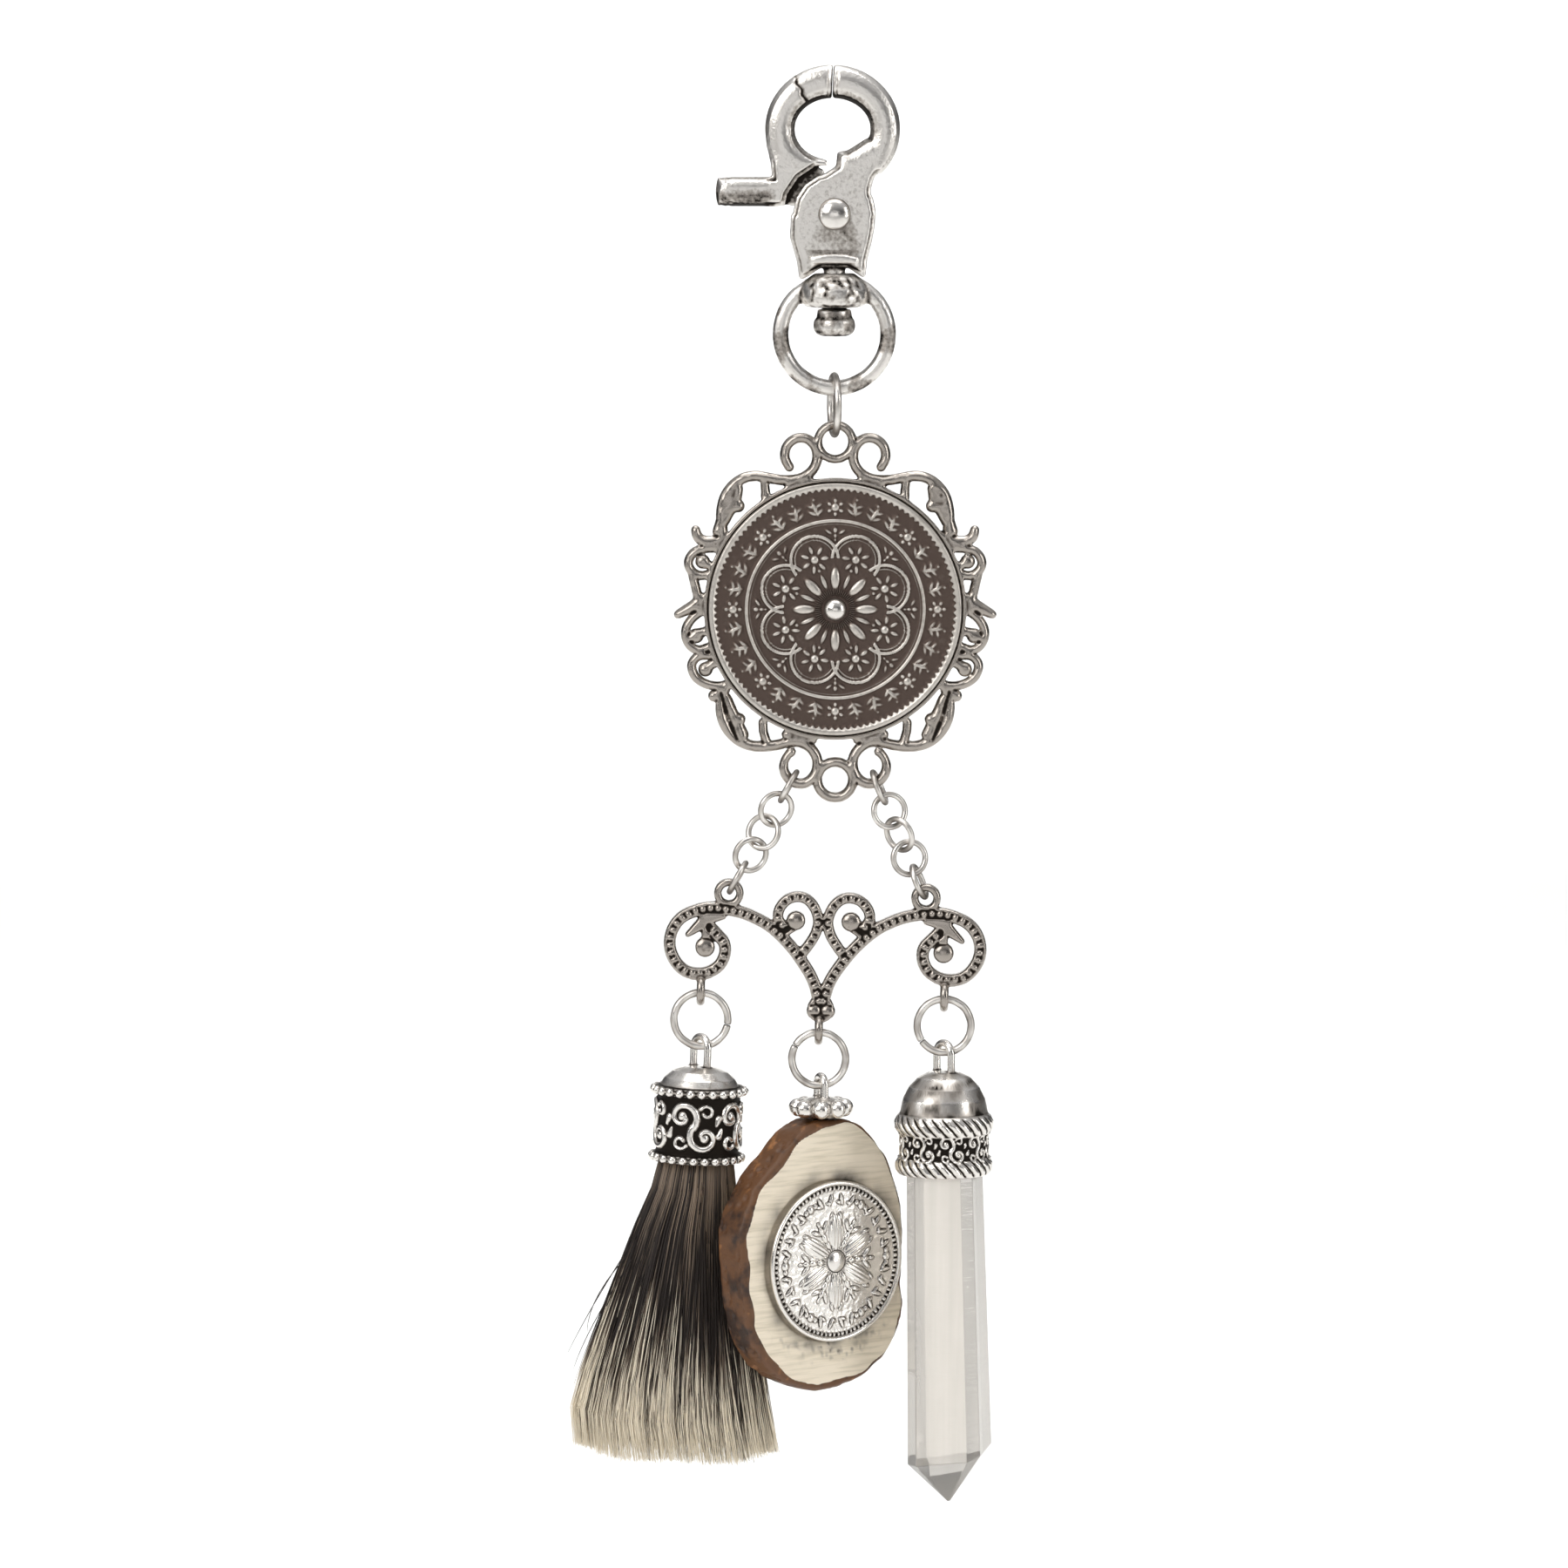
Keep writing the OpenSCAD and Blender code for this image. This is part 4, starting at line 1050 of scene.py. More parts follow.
def arch(radius, wire_radius, leg, top, turn):
    """A half ring on two legs that a jump ring goes through."""
    a = np.radians(np.linspace(0, 180, 28))
    half_ring = [(radius * math.cos(t), 0, radius * math.sin(t)) for t in a]
    obj = wire("loop", [(radius, 0, -leg), *half_ring, (-radius, 0, -leg)], wire_radius, sides=5)
    obj.data.transform(Matrix.Translation((0, 0, top)) @ Matrix.Rotation(math.radians(90 + turn), 4, "Z"))
    return obj


BEAD_ROWS = ((-10.5, 4.9), (-17.75, 4.85))      # height and radius of the tassel cap's rows
BEAD_COUNT = 25
ROPES = ((-13.45, 1.0), (-18.0, 0.95))          # height and half width of the crystal cap's ropes
CAP_SKIN = 0.1
TASSEL_LEAN = math.radians(2.2)


def tassel_place():
    """From the tassel's own millimetres to where it hangs, a little askew."""
    return Matrix.Translation(hinge_of("tassel_ring")) @ Matrix.Translation((0, 0, LOOP_Z)) \
        @ Matrix.Rotation(TASSEL_LEAN, 4, "Y") @ Matrix.Translation((0, 0, -LOOP_Z))


class CHARM_OT_tassel_cap(Operator):
    """Tassel's cap: smooth dome, two rows of beads and a belt of raised scrolls on black"""
    bl_idname = "charm.tassel_cap"
    bl_label = "Tassel cap"

    def execute(self, context):
        profile = [(0, -7.9), (1.6, -8), (2.9, -8.45), (3.8, -9.2), (4.25, -10), (4.75, -10.15),
                   (4.95, -10.5), (4.75, -10.85), (4.45, -10.95), (4.45, -17.25), (4.75, -17.4),
                   (4.9, -17.75), (4.75, -18.1), (4.15, -18.2), (4.15, -16.7), (0, -16.7)]
        cap = turned("tassel_cap_cast", profile, 0.11, 260)
        co = points(cap)
        angle, r, z = polar(co)
        belt = belt_height(angle + math.radians(96), z, 4.5, 5, -14.1, 1.22) * (r > 4.4)
        swell_out(cap, co, r, 0.4 * belt)
        places = []
        for row, (height, reach) in enumerate(BEAD_ROWS):
            for i in range(BEAD_COUNT):
                a = 2 * math.pi * (i + 0.5 * row) / BEAD_COUNT
                places.append((reach * math.cos(a), reach * math.sin(a), height))
        join(cap, *balls(places, 0.45, 14, 8), arch(1.25, 0.42, 2.4, LOOP_Z, 37))
        fuse(cap, CAP_SKIN)
        smooth(cap, 1)
        co = points(cap)
        angle, r, z = polar(co)
        ground = (r < 4.56) * (z < -10.95) * (z > -17.3) * (r > 4.3) * 0.7
        (upper, _), (lower, _) = BEAD_ROWS
        ledge = ((np.abs(z - upper) < 0.55) | (np.abs(z - lower) < 0.55)) * steps(-r, -5.05, -4.85) * 0.45
        line = np.exp(-((angle + math.radians(62) - 0.12 * (z + 8)) / 0.02) ** 2) \
            * (z > -9.9) * (z < -8.2) * 0.45
        mottle = 0.2 * steps(grainy(co, 1.5, 8), 0.05, 0.7)
        patina_and_shade(cap, 0.2, 0.07, 12, ground + ledge + line + mottle + 0.06 * grainy(co, 1.4, 3))
        thin(cap, 0.56)
        cap.data.transform(tassel_place())
        finished(cap, "tassel", cast_silver(), "tassel_cap", slot="cap_silver")
        return {"FINISHED"}


class CHARM_OT_crystal_cap(Operator):
    """Crystal's cap: mottled dome, two rope rings and a belt of small scrolls"""
    bl_idname = "charm.crystal_cap"
    bl_label = "Crystal cap"

    @staticmethod
    def strands(angle, z, middle):
        """The rope's twisted strands, from 0 between them to 1 on their backs."""
        return np.abs(np.cos(14 * angle + (z - middle) * 2.4))

    def execute(self, context):
        profile = [(0, -7.7), (1.5, -7.85), (2.8, -8.45), (3.8, -9.5), (4.45, -10.8), (4.75, -12.3),
                   (5.05, -12.6), (5.32, -13.2), (5.28, -13.9), (4.95, -14.45), (4.6, -14.65), (4.6, -17),
                   (4.9, -17.15), (5.22, -17.7), (5.2, -18.4), (4.9, -18.85), (4.68, -19), (4.65, -17.9),
                   (4.3, -17.5), (4.3, -16.3), (0, -16.3)]
        cap = turned("crystal_cap_cast", profile, 0.11, 280)
        co = points(cap)
        angle, r, z = polar(co)
        belt = belt_height(angle + math.radians(80), z, 4.7, 9, -15.8, 0.66) * (r > 4.5) * (z < -14.5)
        grow = 0.3 * belt
        for middle, half in ROPES:
            across = np.clip(np.abs(z - middle) / half, 0, 1)
            rope = (across < 1) * (r > 4.66)
            grow += rope * np.sqrt(1 - across ** 2) * (0.34 * self.strands(angle, z, middle) ** 0.7 - 0.27)
        swell_out(cap, co, r, grow)
        join(cap, arch(1.25, 0.42, 2.2, LOOP_Z, 37))
        fuse(cap, CAP_SKIN)
        smooth(cap, 1)
        co = points(cap)
        angle, r, z = polar(co)
        ground = (r < 4.72) * (r > 4.4) * (z < -14.5) * (z > -17.1) * 0.65
        mottle = (z > -12.3) * (r > 1.6) * (0.12 + 0.4 * steps(grainy(co, 1.5, 6), -0.1, 0.6))
        for middle, half in ROPES:
            between = steps(0.55 - self.strands(angle, z, middle), 0, 0.4)
            ground = ground + (np.abs(z - middle) < half) * (r > 4.66) * between * 0.5
        line = np.exp(-((z + 9.0 - 0.35 * np.sin(angle + 1.3)) / 0.06) ** 2) \
            * (co[:, 1] < 0) * (r > 1.9) * 0.55
        patina_and_shade(cap, 0.2, 0.07, 12, ground + mottle + line + 0.06 * grainy(co, 1.4, 3))
        thin(cap, 0.54)
        cap.data.transform(Matrix.Translation(hinge_of("crystal_ring")))
        finished(cap, "crystal", cast_silver(), "crystal_cap", slot="cap_silver")
        return {"FINISHED"}


# Tassel hair

STRAND_POINTS = 9
# height, middle x and y, half width and half depth of the tuft, downwards
HAIR_SECTIONS = np.array([
    [-16.8, 0, 0, 3.7, 3.7], [-18.3, 0, 0, 3.9, 3.8], [-20.5, -0.1, 0.1, 4.3, 3.8],
    [-23.2, -0.45, 0.3, 5, 3.8], [-26, -0.8, 0.6, 5.8, 3.8], [-29.3, -1, 0.9, 6.7, 3.9],
    [-32.6, -1.2, 1.2, 7.6, 4], [-36, -1.4, 1.5, 8.55, 4.1], [-39.5, -1.6, 1.8, 9.5, 4.3],
    [-43, -1.75, 2, 10.4, 4.4], [-46, -1.75, 2.2, 11.05, 4.5], [-48.4, -1.4, 2.3, 11.3, 4.4],
    [-51, -0.9, 2.3, 11.3, 4.2]])


def hair_place(z, out, angle):
    """A point in the tuft: its height, its share of the way out from the middle, and its direction."""
    cx, cy, w, d = (np.interp(-z, -HAIR_SECTIONS[:, 0], HAIR_SECTIONS[:, k]) for k in (1, 2, 3, 4))
    return np.stack([cx + out * w * np.cos(angle), cy + out * d * np.sin(angle), z], -1)


def hair_material(name):
    look = settings().hair
    mat, nodes, links, shader = material(name)
    along = nodes.new("ShaderNodeAttribute")
    along.attribute_name = "along"
    tint = nodes.new("ShaderNodeAttribute")
    tint.attribute_name = "tint"
    streak = noise_node(nodes, links, 2600, 3, (1, 1, 0.04))
    shift = maths(nodes, links, "MULTIPLY_ADD", tint.outputs["Fac"], 0.7)
    shift.node.inputs[2].default_value = -0.35
    spread = maths(nodes, links, "MULTIPLY_ADD", streak.outputs["Fac"], 0.16)
    spread.node.inputs[2].default_value = -0.08
    place = maths(nodes, links, "ADD", along.outputs["Fac"], shift)
    place = maths(nodes, links, "ADD", place, spread, True)
    tone = ramp(nodes, [(0.0, look.root), (0.14, [0.5 * c for c in look.root]), (0.27, look.middle),
                        (0.66, look.middle), (0.76, [0.6 * c for c in look.root]),
                        (0.85, [0.85 * c for c in look.tip]), (0.95, look.tip)])
    links.new(place, tone.inputs["Fac"])
    links.new(tone.outputs["Color"], shader.inputs["Base Color"])
    shader.inputs["Roughness"].default_value = 0.42
    shader.inputs["Specular IOR Level"].default_value = 0.45
    bump(nodes, links, shader, streak.outputs["Fac"], 0.00003)
    return mat


def strand_mesh(name, paths, radii, along, tint):
    """Many hairs as one mesh: three-sided, each with its own path, tapering to the tip."""
    count, length = paths.shape[:2]
    ahead = np.gradient(paths, axis=1)
    ahead /= np.maximum(np.linalg.norm(ahead, axis=2, keepdims=True), 1e-9)
    side = np.cross(ahead, [0.0, 1.0, 0.0])
    side /= np.maximum(np.linalg.norm(side, axis=2, keepdims=True), 1e-9)
    depth = np.cross(ahead, side)
    verts = np.empty((count, length, 3, 3))
    for k in range(3):
        a = 2 * math.pi * k / 3 + 0.5
        verts[:, :, k] = paths + radii[:, :, None] * (math.cos(a) * side + math.sin(a) * depth)
    index = np.arange(count * length * 3).reshape(count, length, 3)
    onward = np.roll(index, -1, 2)
    quads = np.stack([index[:, :-1], onward[:, :-1], onward[:, 1:], index[:, 1:]], -1)
    ends = np.concatenate([index[:, 0, ::-1], index[:, -1]])
    mesh = bpy.data.meshes.new(name)
    faces = [tuple(q) for q in quads.reshape(-1, 4).tolist()] + [tuple(t) for t in ends.tolist()]
    mesh.from_pydata(verts.reshape(-1, 3).tolist(), [], faces)
    obj = bpy.data.objects.new(name, mesh)
    bpy.context.scene.collection.objects.link(obj)
    take(obj)
    bpy.ops.object.mode_set(mode="EDIT")
    bpy.ops.mesh.select_all(action="SELECT")
    bpy.ops.mesh.normals_make_consistent(inside=False)
    bpy.ops.object.mode_set(mode="OBJECT")
    mark(obj, "along", np.repeat(along[:, :, None], 3, 2).ravel())
    mark(obj, "tint", np.repeat(np.repeat(tint[:, None], length, 1)[:, :, None], 3, 2).ravel())
    return obj


class CHARM_OT_tassel_hair(Operator):
    """Tuft of badger-like hair: taupe at the cap, dark in the middle and cream at the ends"""
    bl_idname = "charm.tassel_hair"
    bl_label = "Tassel hair"

    def strands(self, name, count, low, high, rng):
        look = settings().hair
        top = HAIR_TOP - 0.4
        angle = rng.uniform(0, 2 * math.pi, count)
        out = rng.uniform(low, high, count)
        drift = rng.normal(0, 0.1, count)
        foot = self.edge(angle) + rng.normal(0, 0.16, count)
        short = rng.random(count) < 0.12
        foot = np.where(short, rng.uniform(-49, -34, count), foot)
        t = np.linspace(0, 1, STRAND_POINTS)[None, :]
        z = top + (foot[:, None] - top) * t
        clump = 0.05 * np.sin(18 * angle)[:, None] * t
        wave = 0.02 * np.sin(t * rng.uniform(3, 7, (count, 1)) + rng.uniform(0, 6, (count, 1))) * t
        paths = hair_place(z, out[:, None] * (1 - 0.05 * t) + 0.5 * clump * (out[:, None] > 0.6) + wave,
                           angle[:, None] + drift[:, None] * t ** 1.5)
        radii = look.thickness * (1 - 0.7 * t ** 3) * rng.uniform(0.7, 1.35, (count, 1))
        along = (HAIR_TOP - z) / HAIR_LENGTH
        light = np.where(rng.random(count) < 0.13, 0.3, 0)
        tint = rng.normal(0.5, 0.17, count) + 0.1 * np.sin(18 * angle) - 0.1 * np.cos(angle) + light
        return strand_mesh(name, paths, radii, along, np.clip(tint, 0, 1))

    @staticmethod
    def edge(angle):
        """Height of the tuft's trimmed foot, all round."""
        return -51.0 + 1.1 * np.cos(angle) ** 2 - 0.3 * np.sin(5 * angle)

    def stray(self, name, rng):
        """The few hairs that stand out from the left of the tuft."""
        paths = []
        for start, middle, end in (((-6.2, -1.2, -26.5), (-10.2, -1.8, -33.5), (-13.1, -2, -39.4)),
                                   ((-6.0, -0.6, -27.5), (-9.9, -1, -32.8), (-11.1, -1, -37.2)),
                                   ((-6.6, -1.6, -29), (-10.4, -2.2, -36), (-12.4, -2.4, -41))):
            a, b, c = (np.array(v, float) for v in (start, middle, end))
            t = np.linspace(0, 1, STRAND_POINTS)[:, None]
            paths.append((1 - t) ** 2 * a + 2 * t * (1 - t) * (2 * b - 0.5 * (a + c)) + t * t * c)
        paths = np.array(paths)
        t = np.linspace(0, 1, STRAND_POINTS)[None, :]
        radii = 1.1 * settings().hair.thickness * (1 - 0.7 * t ** 3) * np.ones((len(paths), 1))
        along = np.broadcast_to(0.3 + 0.25 * t, radii.shape)
        return strand_mesh(name, paths, radii, along, np.full(len(paths), 0.5))

    def execute(self, context):
        rng = np.random.default_rng(11)
        hair = shared("badger_hair", hair_material)
        count = settings().hair.strands
        body = casting("tassel_hair", "tassel_hair_locks")
        at = tassel_place()
        body.data.transform(at.inverted())
        use_modifier(body, "SUBSURF", levels=1, render_levels=1, subdivision_type="SIMPLE")
        co = points(body)
        z = co[:, 2]
        cx, cy = (np.interp(-z, -HAIR_SECTIONS[:, 0], HAIR_SECTIONS[:, k]) for k in (1, 2))
        angle = np.arctan2(co[:, 1] - cy, co[:, 0] - cx)
        groove = grainy(np.stack([angle * 5, angle * 0, z * 0.05], 1), 0.28, 2)
        pulled_in = 0.93 + 0.025 * groove
        co[:, 0] = cx + (co[:, 0] - cx) * pulled_in
        co[:, 1] = cy + (co[:, 1] - cy) * pulled_in
        co[:, 2] += 2.2 * steps(-z, 44, 49)
        set_points(body, co)
        mark(body, "along", (HAIR_TOP - z) / HAIR_LENGTH)
        mark(body, "tint", 0.45 + 0.3 * groove)
        body.data.transform(at)
        finished(body, "tassel", hair, "tassel_hair", slot="hair")
        inner = self.strands("tassel_hair_inner", count // 4, 0.72, 0.96, rng)
        outer = self.strands("tassel_hair_outer", count, 0.9, 1.02, rng)
        for piece in (inner, join(outer, self.stray("tassel_hair_stray", rng))):
            piece.data.transform(at)
            finished(piece, "tassel", hair, slot="hair")
        return {"FINISHED"}


# Antler drop

def antler_material():
    look = settings().antler
    mat, nodes, links, shader = material("antler")
    bark = nodes.new("ShaderNodeAttribute")
    bark.attribute_name = "bark"
    shadow_and_stain = nodes.new("ShaderNodeAttribute")
    shadow_and_stain.attribute_name = "shadow_and_stain"
    lines = noise_node(nodes, links, 500, 6, (0.4, 0.4, 5.5))
    cloud = noise_node(nodes, links, 240, 4, seed=2)
    spots = noise_node(nodes, links, 900, 6, seed=5)
    face = ramp(nodes, [(0.3, look.grain), (0.56, look.face)])
    links.new(lines.outputs["Fac"], face.inputs["Fac"])
    rind = ramp(nodes, [(0.4, look.bark_dark), (0.52, look.bark), (0.6, look.bark), (0.7, look.bark_light)])
    mixed = maths(nodes, links, "ADD", maths(nodes, links, "MULTIPLY", cloud.outputs["Fac"], 0.65),
                  maths(nodes, links, "MULTIPLY", spots.outputs["Fac"], 0.38))
    links.new(mixed, rind.inputs["Fac"])
    edge = ramp(nodes, [(0.42, 0), (0.58, 1)])
    wander = maths(nodes, links, "MULTIPLY_ADD", cloud.outputs["Fac"], 0.3)
    wander.node.inputs[2].default_value = -0.15
    links.new(maths(nodes, links, "ADD", bark.outputs["Fac"], wander, True), edge.inputs["Fac"])
    first = nodes.new("ShaderNodeMix")
    first.data_type = "RGBA"
    links.new(edge.outputs["Color"], first.inputs["Factor"])
    links.new(face.outputs["Color"], first.inputs["A"])
    links.new(rind.outputs["Color"], first.inputs["B"])
    # painted shadow round the coin and real dark specks, mixed in with one colour
    shadow_and_speck_amount = maths(nodes, links, "MULTIPLY", shadow_and_stain.outputs["Fac"],
                   maths(nodes, links, "ADD", spots.outputs["Fac"], 0.35), True)
    second = nodes.new("ShaderNodeMix")
    second.data_type = "RGBA"
    links.new(shadow_and_speck_amount, second.inputs["Factor"])
    links.new(first.outputs["Result"], second.inputs["A"])
    second.inputs["B"].default_value = (*look.shadow_and_speck_tint, 1)
    links.new(second.outputs["Result"], shader.inputs["Base Color"])
    shader.inputs["Roughness"].default_value = 0.5
    height = maths(nodes, links, "ADD", maths(nodes, links, "MULTIPLY", lines.outputs["Fac"], 0.25),
                   spots.outputs["Fac"])
    bump(nodes, links, shader, height, 0.00006)
    return mat


SLICE_TURN = math.radians(36)
SLICE_PLACE = (-0.5, 0, -24.2)      # middle of the slice, from the ring's hinge
BAIL_SHIFT = 0.25
SEAT = (0.7, -0.4)                  # middle of the small coin on the slice
SMALL_COIN_R = 8.75
SMALL_COIN_T = 1.05


class CHARM_OT_antler(Operator):
    """Antler slice with rough bark round its rim, the small coin let into it, and the bead flower above"""
    bl_idname = "charm.antler"
    bl_label = "Antler drop"

    def execute(self, context):
        hinge = hinge_of("antler_ring")
        place = Matrix.Translation(hinge) @ Matrix.Translation(SLICE_PLACE) \
            @ Matrix.Rotation(SLICE_TURN, 4, "Z")
        piece = casting("antler_slice", "antler_slice_cut")
        piece.data.transform(place.inverted())
        tree = outline_tree(piece, -1.95, lambda x, z: math.hypot(x - SEAT[0], z - SEAT[1]) > 9.1)
        fuse(piece, 0.2)
        smooth(piece, 1)
        co, n = points(piece), normals(piece)
        d = distance_in(tree, co)
        x, y, z = co.T
        coin_out = np.hypot(x - SEAT[0], z - SEAT[1])
        side = steps(1 - np.abs(n[:, 1]), 0.35, 0.8) * (coin_out > 9.2)
        pores = pitted(co, 1.3, 3)
        lumps = grainy(np.stack([x, y * 0.45, z], 1), 1.7, 5)
        away = np.stack([x, 0 * y, z], 1) / np.maximum(np.hypot(x, z), 1)[:, None]
        wavy = grainy(np.stack([x, 0.12 * y, z], 1), 2.6, 7)
        co += away * (0.24 * np.minimum(wavy, 0.2) * steps(-d, -2.2, -0.4) * (coin_out > 9.4))[:, None]
        co += n * (side * (0.12 * lumps - 0.22 * steps(0.42 - pores, 0, 0.3)) - 0.03 * side)[:, None]
        set_points(piece, co)
        wide = 0.62 + 0.3 * steps(-x, -4, 6) + 0.3 * grainy(np.stack([x, 0 * y, z], 1), 3.2, 11)
        rim = steps(wide - d, 0, 0.25)
        mark(piece, "bark", np.maximum(side, rim))
        # painted shadow: a mottled grey ring round the raised coin; the dark specks below it are real stains
        grey = np.exp(-((coin_out - 8.9) / 1.1) ** 2) * (0.45 + 0.5 * grainy(co, 2.4, 1))
        below = steps(-z, 6.5, 9.5) * np.exp(-((coin_out - 9.8) / 1.0) ** 2)
        specks = below * steps(0.34 - pitted(co, 0.75, 2), 0, 0.1) * 1.2
        mark(piece, "shadow_and_stain", (grey + specks) * (y < -1))
        thin(piece, 0.7)
        piece.data.transform(place)
        finished(piece, "antler", antler_material(), "antler_slice", slot="antler")

        coin = coin_disc("antler_coin_struck", SMALL_COIN_R, SMALL_COIN_T, 0.1, 420)
        struck(coin, small_relief, 0.1, 0.06)
        thin(coin, 0.8)
        coin.data.transform(place @ Matrix.Translation((SEAT[0], -3.05, SEAT[1])))
        finished(coin, "antler", cast_silver(), "antler_coin", slot="bright_silver")

        core = [(0, -6.9), (1.2, -7), (2.2, -7.4), (2.7, -7.9), (2.7, -8.6), (2.2, -9.1), (0.8, -9.2),
                (0.8, -13), (0, -13)]
        bail = turned("antler_bail_cast", core, 0.15, 72)
        petals = [(2.5 * math.cos(a), 2.5 * math.sin(a), -8.15) for a in np.radians(np.arange(8) * 45)]
        join(bail, *balls(petals, 1, 24, 14), arch(0.95, 0.42, 1.6, -5.71, 25))
        fuse(bail, CAP_SKIN)
        smooth(bail, 1)
        co = points(bail)
        patina_and_shade(bail, 0.2, 0.09, 14, 0.07 * grainy(co, 0.8, 4) + 0.5 * (co[:, 2] < -9.05))
        thin(bail, 0.7)
        bail.data.transform(Matrix.Translation(hinge + [BAIL_SHIFT, 0, 0]))
        finished(bail, "antler", cast_silver(), "antler_bail", slot="cap_silver")
        return {"FINISHED"}


# Crystal

CRYSTAL_TURN = -14          # degrees that the stone is turned in its cap


class CHARM_OT_crystal(Operator):
    """Clear rock crystal with ground edges"""
    bl_idname = "charm.crystal"
    bl_label = "Crystal"

    def execute(self, context):
        look = settings().crystal
        stone = casting("crystal_drop", "crystal_drop_cut")
        take(stone)
        bpy.ops.object.mode_set(mode="EDIT")
        bpy.ops.mesh.select_all(action="SELECT")
        bpy.ops.mesh.dissolve_limited(angle_limit=math.radians(0.5))
        bpy.ops.object.mode_set(mode="OBJECT")
        use_modifier(stone, "BEVEL", width=0.09, segments=2, limit_method="ANGLE",
                     angle_limit=math.radians(4))
        shades = []
        for face in stone.data.polygons:
            turn = (math.degrees(math.atan2(face.normal.y, face.normal.x)) - CRYSTAL_TURN) % 90
            shade = 0.75 if abs(turn - 45) < 20 else 0.1
            # painted shade: the point's facets that face left darker than those that face right
            if face.normal.z < -0.3:
                shade = 0.9 if face.normal.x < -0.1 else 0.35
            shades.append(shade)
        layer = stone.data.attributes.new("ground", "FLOAT", "FACE")
        layer.data.foreach_set("value", shades)
        mat, nodes, links, shader = material("rock_crystal")
        ground = nodes.new("ShaderNodeAttribute")
        ground.attribute_name = "ground"
        veil = noise_node(nodes, links, 900, 4, (1, 1, 0.035))
        cloud = noise_node(nodes, links, 130, 3, (1, 1, 0.5), seed=4)
        mixed = maths(nodes, links, "ADD", maths(nodes, links, "MULTIPLY", veil.outputs["Fac"], 0.6),
                      maths(nodes, links, "MULTIPLY", cloud.outputs["Fac"], 0.4))
        tone = ramp(nodes, [(0.0, look.tint), (0.3, [0.86 * c for c in look.tint]), (0.9, look.shade)])
        lighter = maths(nodes, links, "MULTIPLY_ADD", mixed, -1.2)
        lighter.node.inputs[2].default_value = 0.75
        links.new(maths(nodes, links, "ADD", lighter, ground.outputs["Fac"], True), tone.inputs["Fac"])
        links.new(tone.outputs["Color"], shader.inputs["Base Color"])
        shader.inputs["Transmission Weight"].default_value = 0.7
        shader.inputs["IOR"].default_value = 1.54
        shader.inputs["Roughness"].default_value = look.polish
        growth = noise_node(nodes, links, 300, 3, (1, 1, 6))
        bump(nodes, links, shader, growth.outputs["Fac"], 0.00002)
        finished(stone, "crystal", mat, "crystal_drop", slot="crystal")
        take(stone)
        bpy.ops.object.shade_flat()
        return {"FINISHED"}


# Stage

def soft_light(name, place, aim, size, glow, tint, spread=180):
    """A lit panel: glow is how bright it looks where the silver mirrors it, spread its beam in degrees."""
    bpy.ops.object.light_add(type="AREA", location=place)
    lamp = bpy.context.active_object
    lamp.name = name
    lamp.data.shape = "RECTANGLE"
    lamp.data.size, lamp.data.size_y = size
    lamp.data.energy = glow * math.pi * size[0] * size[1]
    lamp.data.color = tint
    lamp.rotation_euler = (Vector(aim) - Vector(place)).to_track_quat("-Z", "Y").to_euler()
    lamp.data.spread = math.radians(spread)


# Places and sizes of the stage in metres, from the chain's own origin
FLOOR_Z = -0.2
SWEEP_WIDTH = 0.9
SWEEP_FRONT = -0.5
WALL_Y = 1.6
WALL_HEIGHT = 1.2
SWEEP_BEND = 0.5
GROUND_WIDTH = 7
GROUND_DROP = 0.003
CHAIN_MIDDLE = (0, 0, -0.075)
VIEW_MIDDLE = (-0.00498, 0, -0.07345)


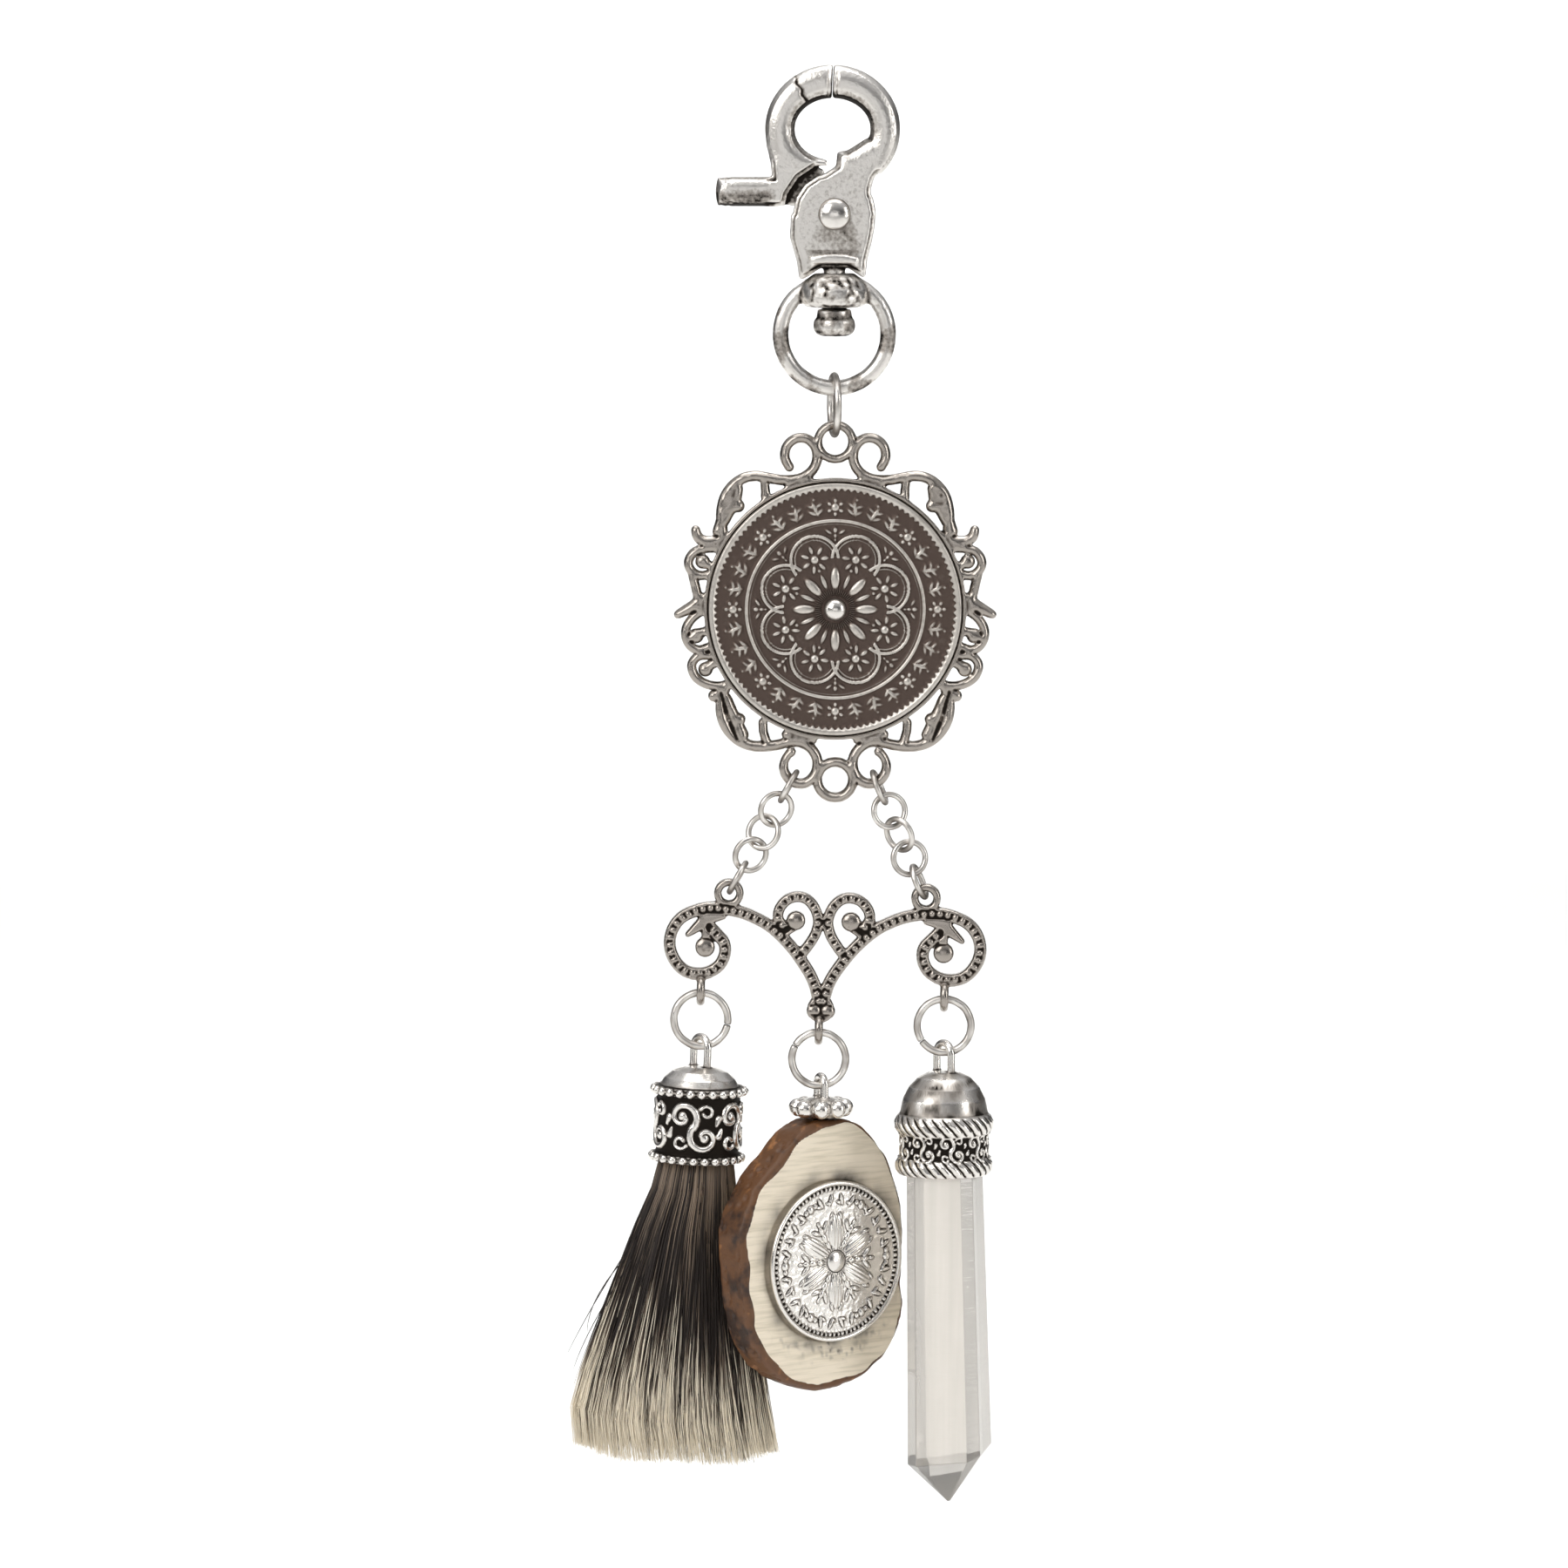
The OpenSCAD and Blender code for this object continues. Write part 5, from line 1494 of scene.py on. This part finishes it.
class CHARM_OT_stage(Operator):
    """Pale sweep behind and below the hanging chain, soft lights and the camera"""
    bl_idname = "charm.stage"
    bl_label = "Stage"

    @staticmethod
    def sweep(colour):
        """A strip of paper that bends up into a wall, beyond the cameras that look from behind."""
        bpy.ops.object.select_all(action="DESELECT")
        bpy.ops.mesh.primitive_plane_add(size=1, location=(0, 0, FLOOR_Z))
        floor = bpy.context.active_object
        floor.name = "sweep"
        bpy.ops.object.mode_set(mode="EDIT")
        bm = bmesh.from_edit_mesh(floor.data)
        for v in bm.verts:
            v.co.x *= SWEEP_WIDTH
            v.co.y = WALL_Y if v.co.y > 0 else SWEEP_FRONT
        for edge in bm.edges:
            edge.select_set(all(v.co.y > WALL_Y - 0.01 for v in edge.verts))
        bmesh.update_edit_mesh(floor.data)
        bpy.ops.mesh.extrude_edges_move(TRANSFORM_OT_translate={"value": (0, 0, WALL_HEIGHT)})
        bm = bmesh.from_edit_mesh(floor.data)
        for edge in bm.edges:
            edge.select_set(all(v.co.y > WALL_Y - 0.01 and abs(v.co.z) < 0.01 for v in edge.verts))
        bmesh.update_edit_mesh(floor.data)
        bpy.ops.mesh.bevel(offset=SWEEP_BEND, segments=16, affect="EDGES")
        bpy.ops.object.mode_set(mode="OBJECT")
        bpy.ops.object.shade_smooth()
        mat, nodes, links, shader = material("backdrop_paper")
        paper = noise_node(nodes, links, 6, 2)
        tone = ramp(nodes, [(0.3, [0.985 * c for c in colour]), (0.7, colour)])
        links.new(paper.outputs["Fac"], tone.inputs["Fac"])
        links.new(tone.outputs["Color"], shader.inputs["Base Color"])
        shader.inputs["Roughness"].default_value = 0.9
        floor.data.materials.append(mat)

    @staticmethod
    def ground(colour):
        """Wide floor round the sweep, for views from the sides and from behind."""
        bpy.ops.mesh.primitive_plane_add(size=GROUND_WIDTH, location=(0, 0, FLOOR_Z - GROUND_DROP))
        ground = bpy.context.active_object
        ground.name = "ground"
        mat, nodes, links, shader = material("ground_paper")
        shader.inputs["Base Color"].default_value = (*colour, 1)
        shader.inputs["Roughness"].default_value = 0.9
        ground.data.materials.append(mat)

    @staticmethod
    def room(context):
        """Dim walls under a bright ceiling, for the silver to mirror."""
        world = bpy.data.worlds.new("studio")
        context.scene.world = world
        world.use_nodes = True
        nodes, links = world.node_tree.nodes, world.node_tree.links
        coords = nodes.new("ShaderNodeTexCoord")
        split = nodes.new("ShaderNodeSeparateXYZ")
        links.new(coords.outputs["Generated"], split.inputs["Vector"])
        sky = ramp(nodes, [(0.0, (0.4, 0.39, 0.38)), (0.35, (0.15, 0.148, 0.145)), (0.5, (0.07, 0.07, 0.072)),
                           (0.62, (0.14, 0.14, 0.145)), (0.8, (0.7, 0.7, 0.71)), (1.0, (1, 1, 1))])
        half = maths(nodes, links, "MULTIPLY_ADD", split.outputs["Z"], 0.5)
        half.node.inputs[2].default_value = 0.5
        links.new(half, sky.inputs["Fac"])
        links.new(sky.outputs["Color"], nodes["Background"].inputs["Color"])
        nodes["Background"].inputs["Strength"].default_value = 0.6

    @staticmethod
    def camera(context, look):
        bpy.ops.object.camera_add()
        camera = bpy.context.active_object
        camera.name = "camera"
        camera.data.lens = 200
        camera.data.sensor_width = 36
        camera.data.dof.use_dof = False
        far = look.width * camera.data.lens / camera.data.sensor_width
        back = Vector((0, -math.cos(look.elevation), math.sin(look.elevation)))
        camera.location = Vector(VIEW_MIDDLE) + far * back
        camera.rotation_euler = (math.pi / 2 - look.elevation, 0, 0)
        context.scene.camera = camera
        context.scene.view_settings.view_transform = "Standard"

    def execute(self, context):
        look = settings().studio
        self.sweep(look.backdrop)
        self.ground(look.ground)
        self.room(context)
        white = (1, 1, 1)
        soft_light("key", (-0.8, -0.9, 0.6), CHAIN_MIDDLE, (0.9, 0.9), 2.97, (1, 0.985, 0.96))
        soft_light("front", (0, -1.5, -0.15), CHAIN_MIDDLE, (0.9, 0.7), 0.935, white)
        soft_light("fill", (0.95, -0.45, 0.05), CHAIN_MIDDLE, (0.35, 0.9), 3.3, (1, 0.99, 0.97))
        soft_light("left", (-1.0, -0.25, 0.0), CHAIN_MIDDLE, (0.25, 0.9), 1.43, white)
        soft_light("top", (0.0, -0.15, 0.8), CHAIN_MIDDLE, (0.9, 0.5), 1.76, white)
        soft_light("backdrop", (0, 0.95, 0.75), (0, WALL_Y, 0.0), (1.0, 0.4), 1.6, white, 70)
        soft_light("floor", (0, 0.72, 1.1), (0, 0.72, FLOOR_Z), (0.9, 1.3), 0.75, white, 60)
        self.camera(context, look)
        return {"FINISHED"}


OPERATORS = (CHARM_OT_hook, CHARM_OT_links, CHARM_OT_frame, CHARM_OT_coin, CHARM_OT_bar, CHARM_OT_tassel_cap,
             CHARM_OT_tassel_hair, CHARM_OT_antler, CHARM_OT_crystal_cap, CHARM_OT_crystal, CHARM_OT_stage)


class CHARM_PT_panel(Panel):
    """Lists the pieces of the charm chain and their settings"""
    bl_idname = "CHARM_PT_panel"
    bl_label = "Charm chain"
    bl_space_type = "VIEW_3D"
    bl_region_type = "UI"
    bl_category = "Charm chain"

    def draw(self, context):
        look = context.scene.charm_chain
        for part in ("silver", "hair", "antler", "crystal", "studio"):
            group = getattr(look, part)
            box = self.layout.box()
            box.label(text=part.title())
            for name in group.__annotations__:
                box.prop(group, name)
        for operator in OPERATORS:
            self.layout.operator(operator.bl_idname)


CLASSES = (SilverFinish, HairLook, AntlerLook, CrystalLook, StudioLook, CharmSettings, *OPERATORS,
           CHARM_PT_panel)


def register():
    for cls in CLASSES:
        bpy.utils.register_class(cls)
    bpy.types.Scene.charm_chain = PointerProperty(type=CharmSettings)


def unregister():
    del bpy.types.Scene.charm_chain
    for cls in reversed(CLASSES):
        bpy.utils.unregister_class(cls)


def main():
    register()
    for operator in OPERATORS:
        group, name = operator.bl_idname.split(".")
        getattr(getattr(bpy.ops, group), name)()
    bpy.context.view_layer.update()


if __name__ == "__main__":
    main()
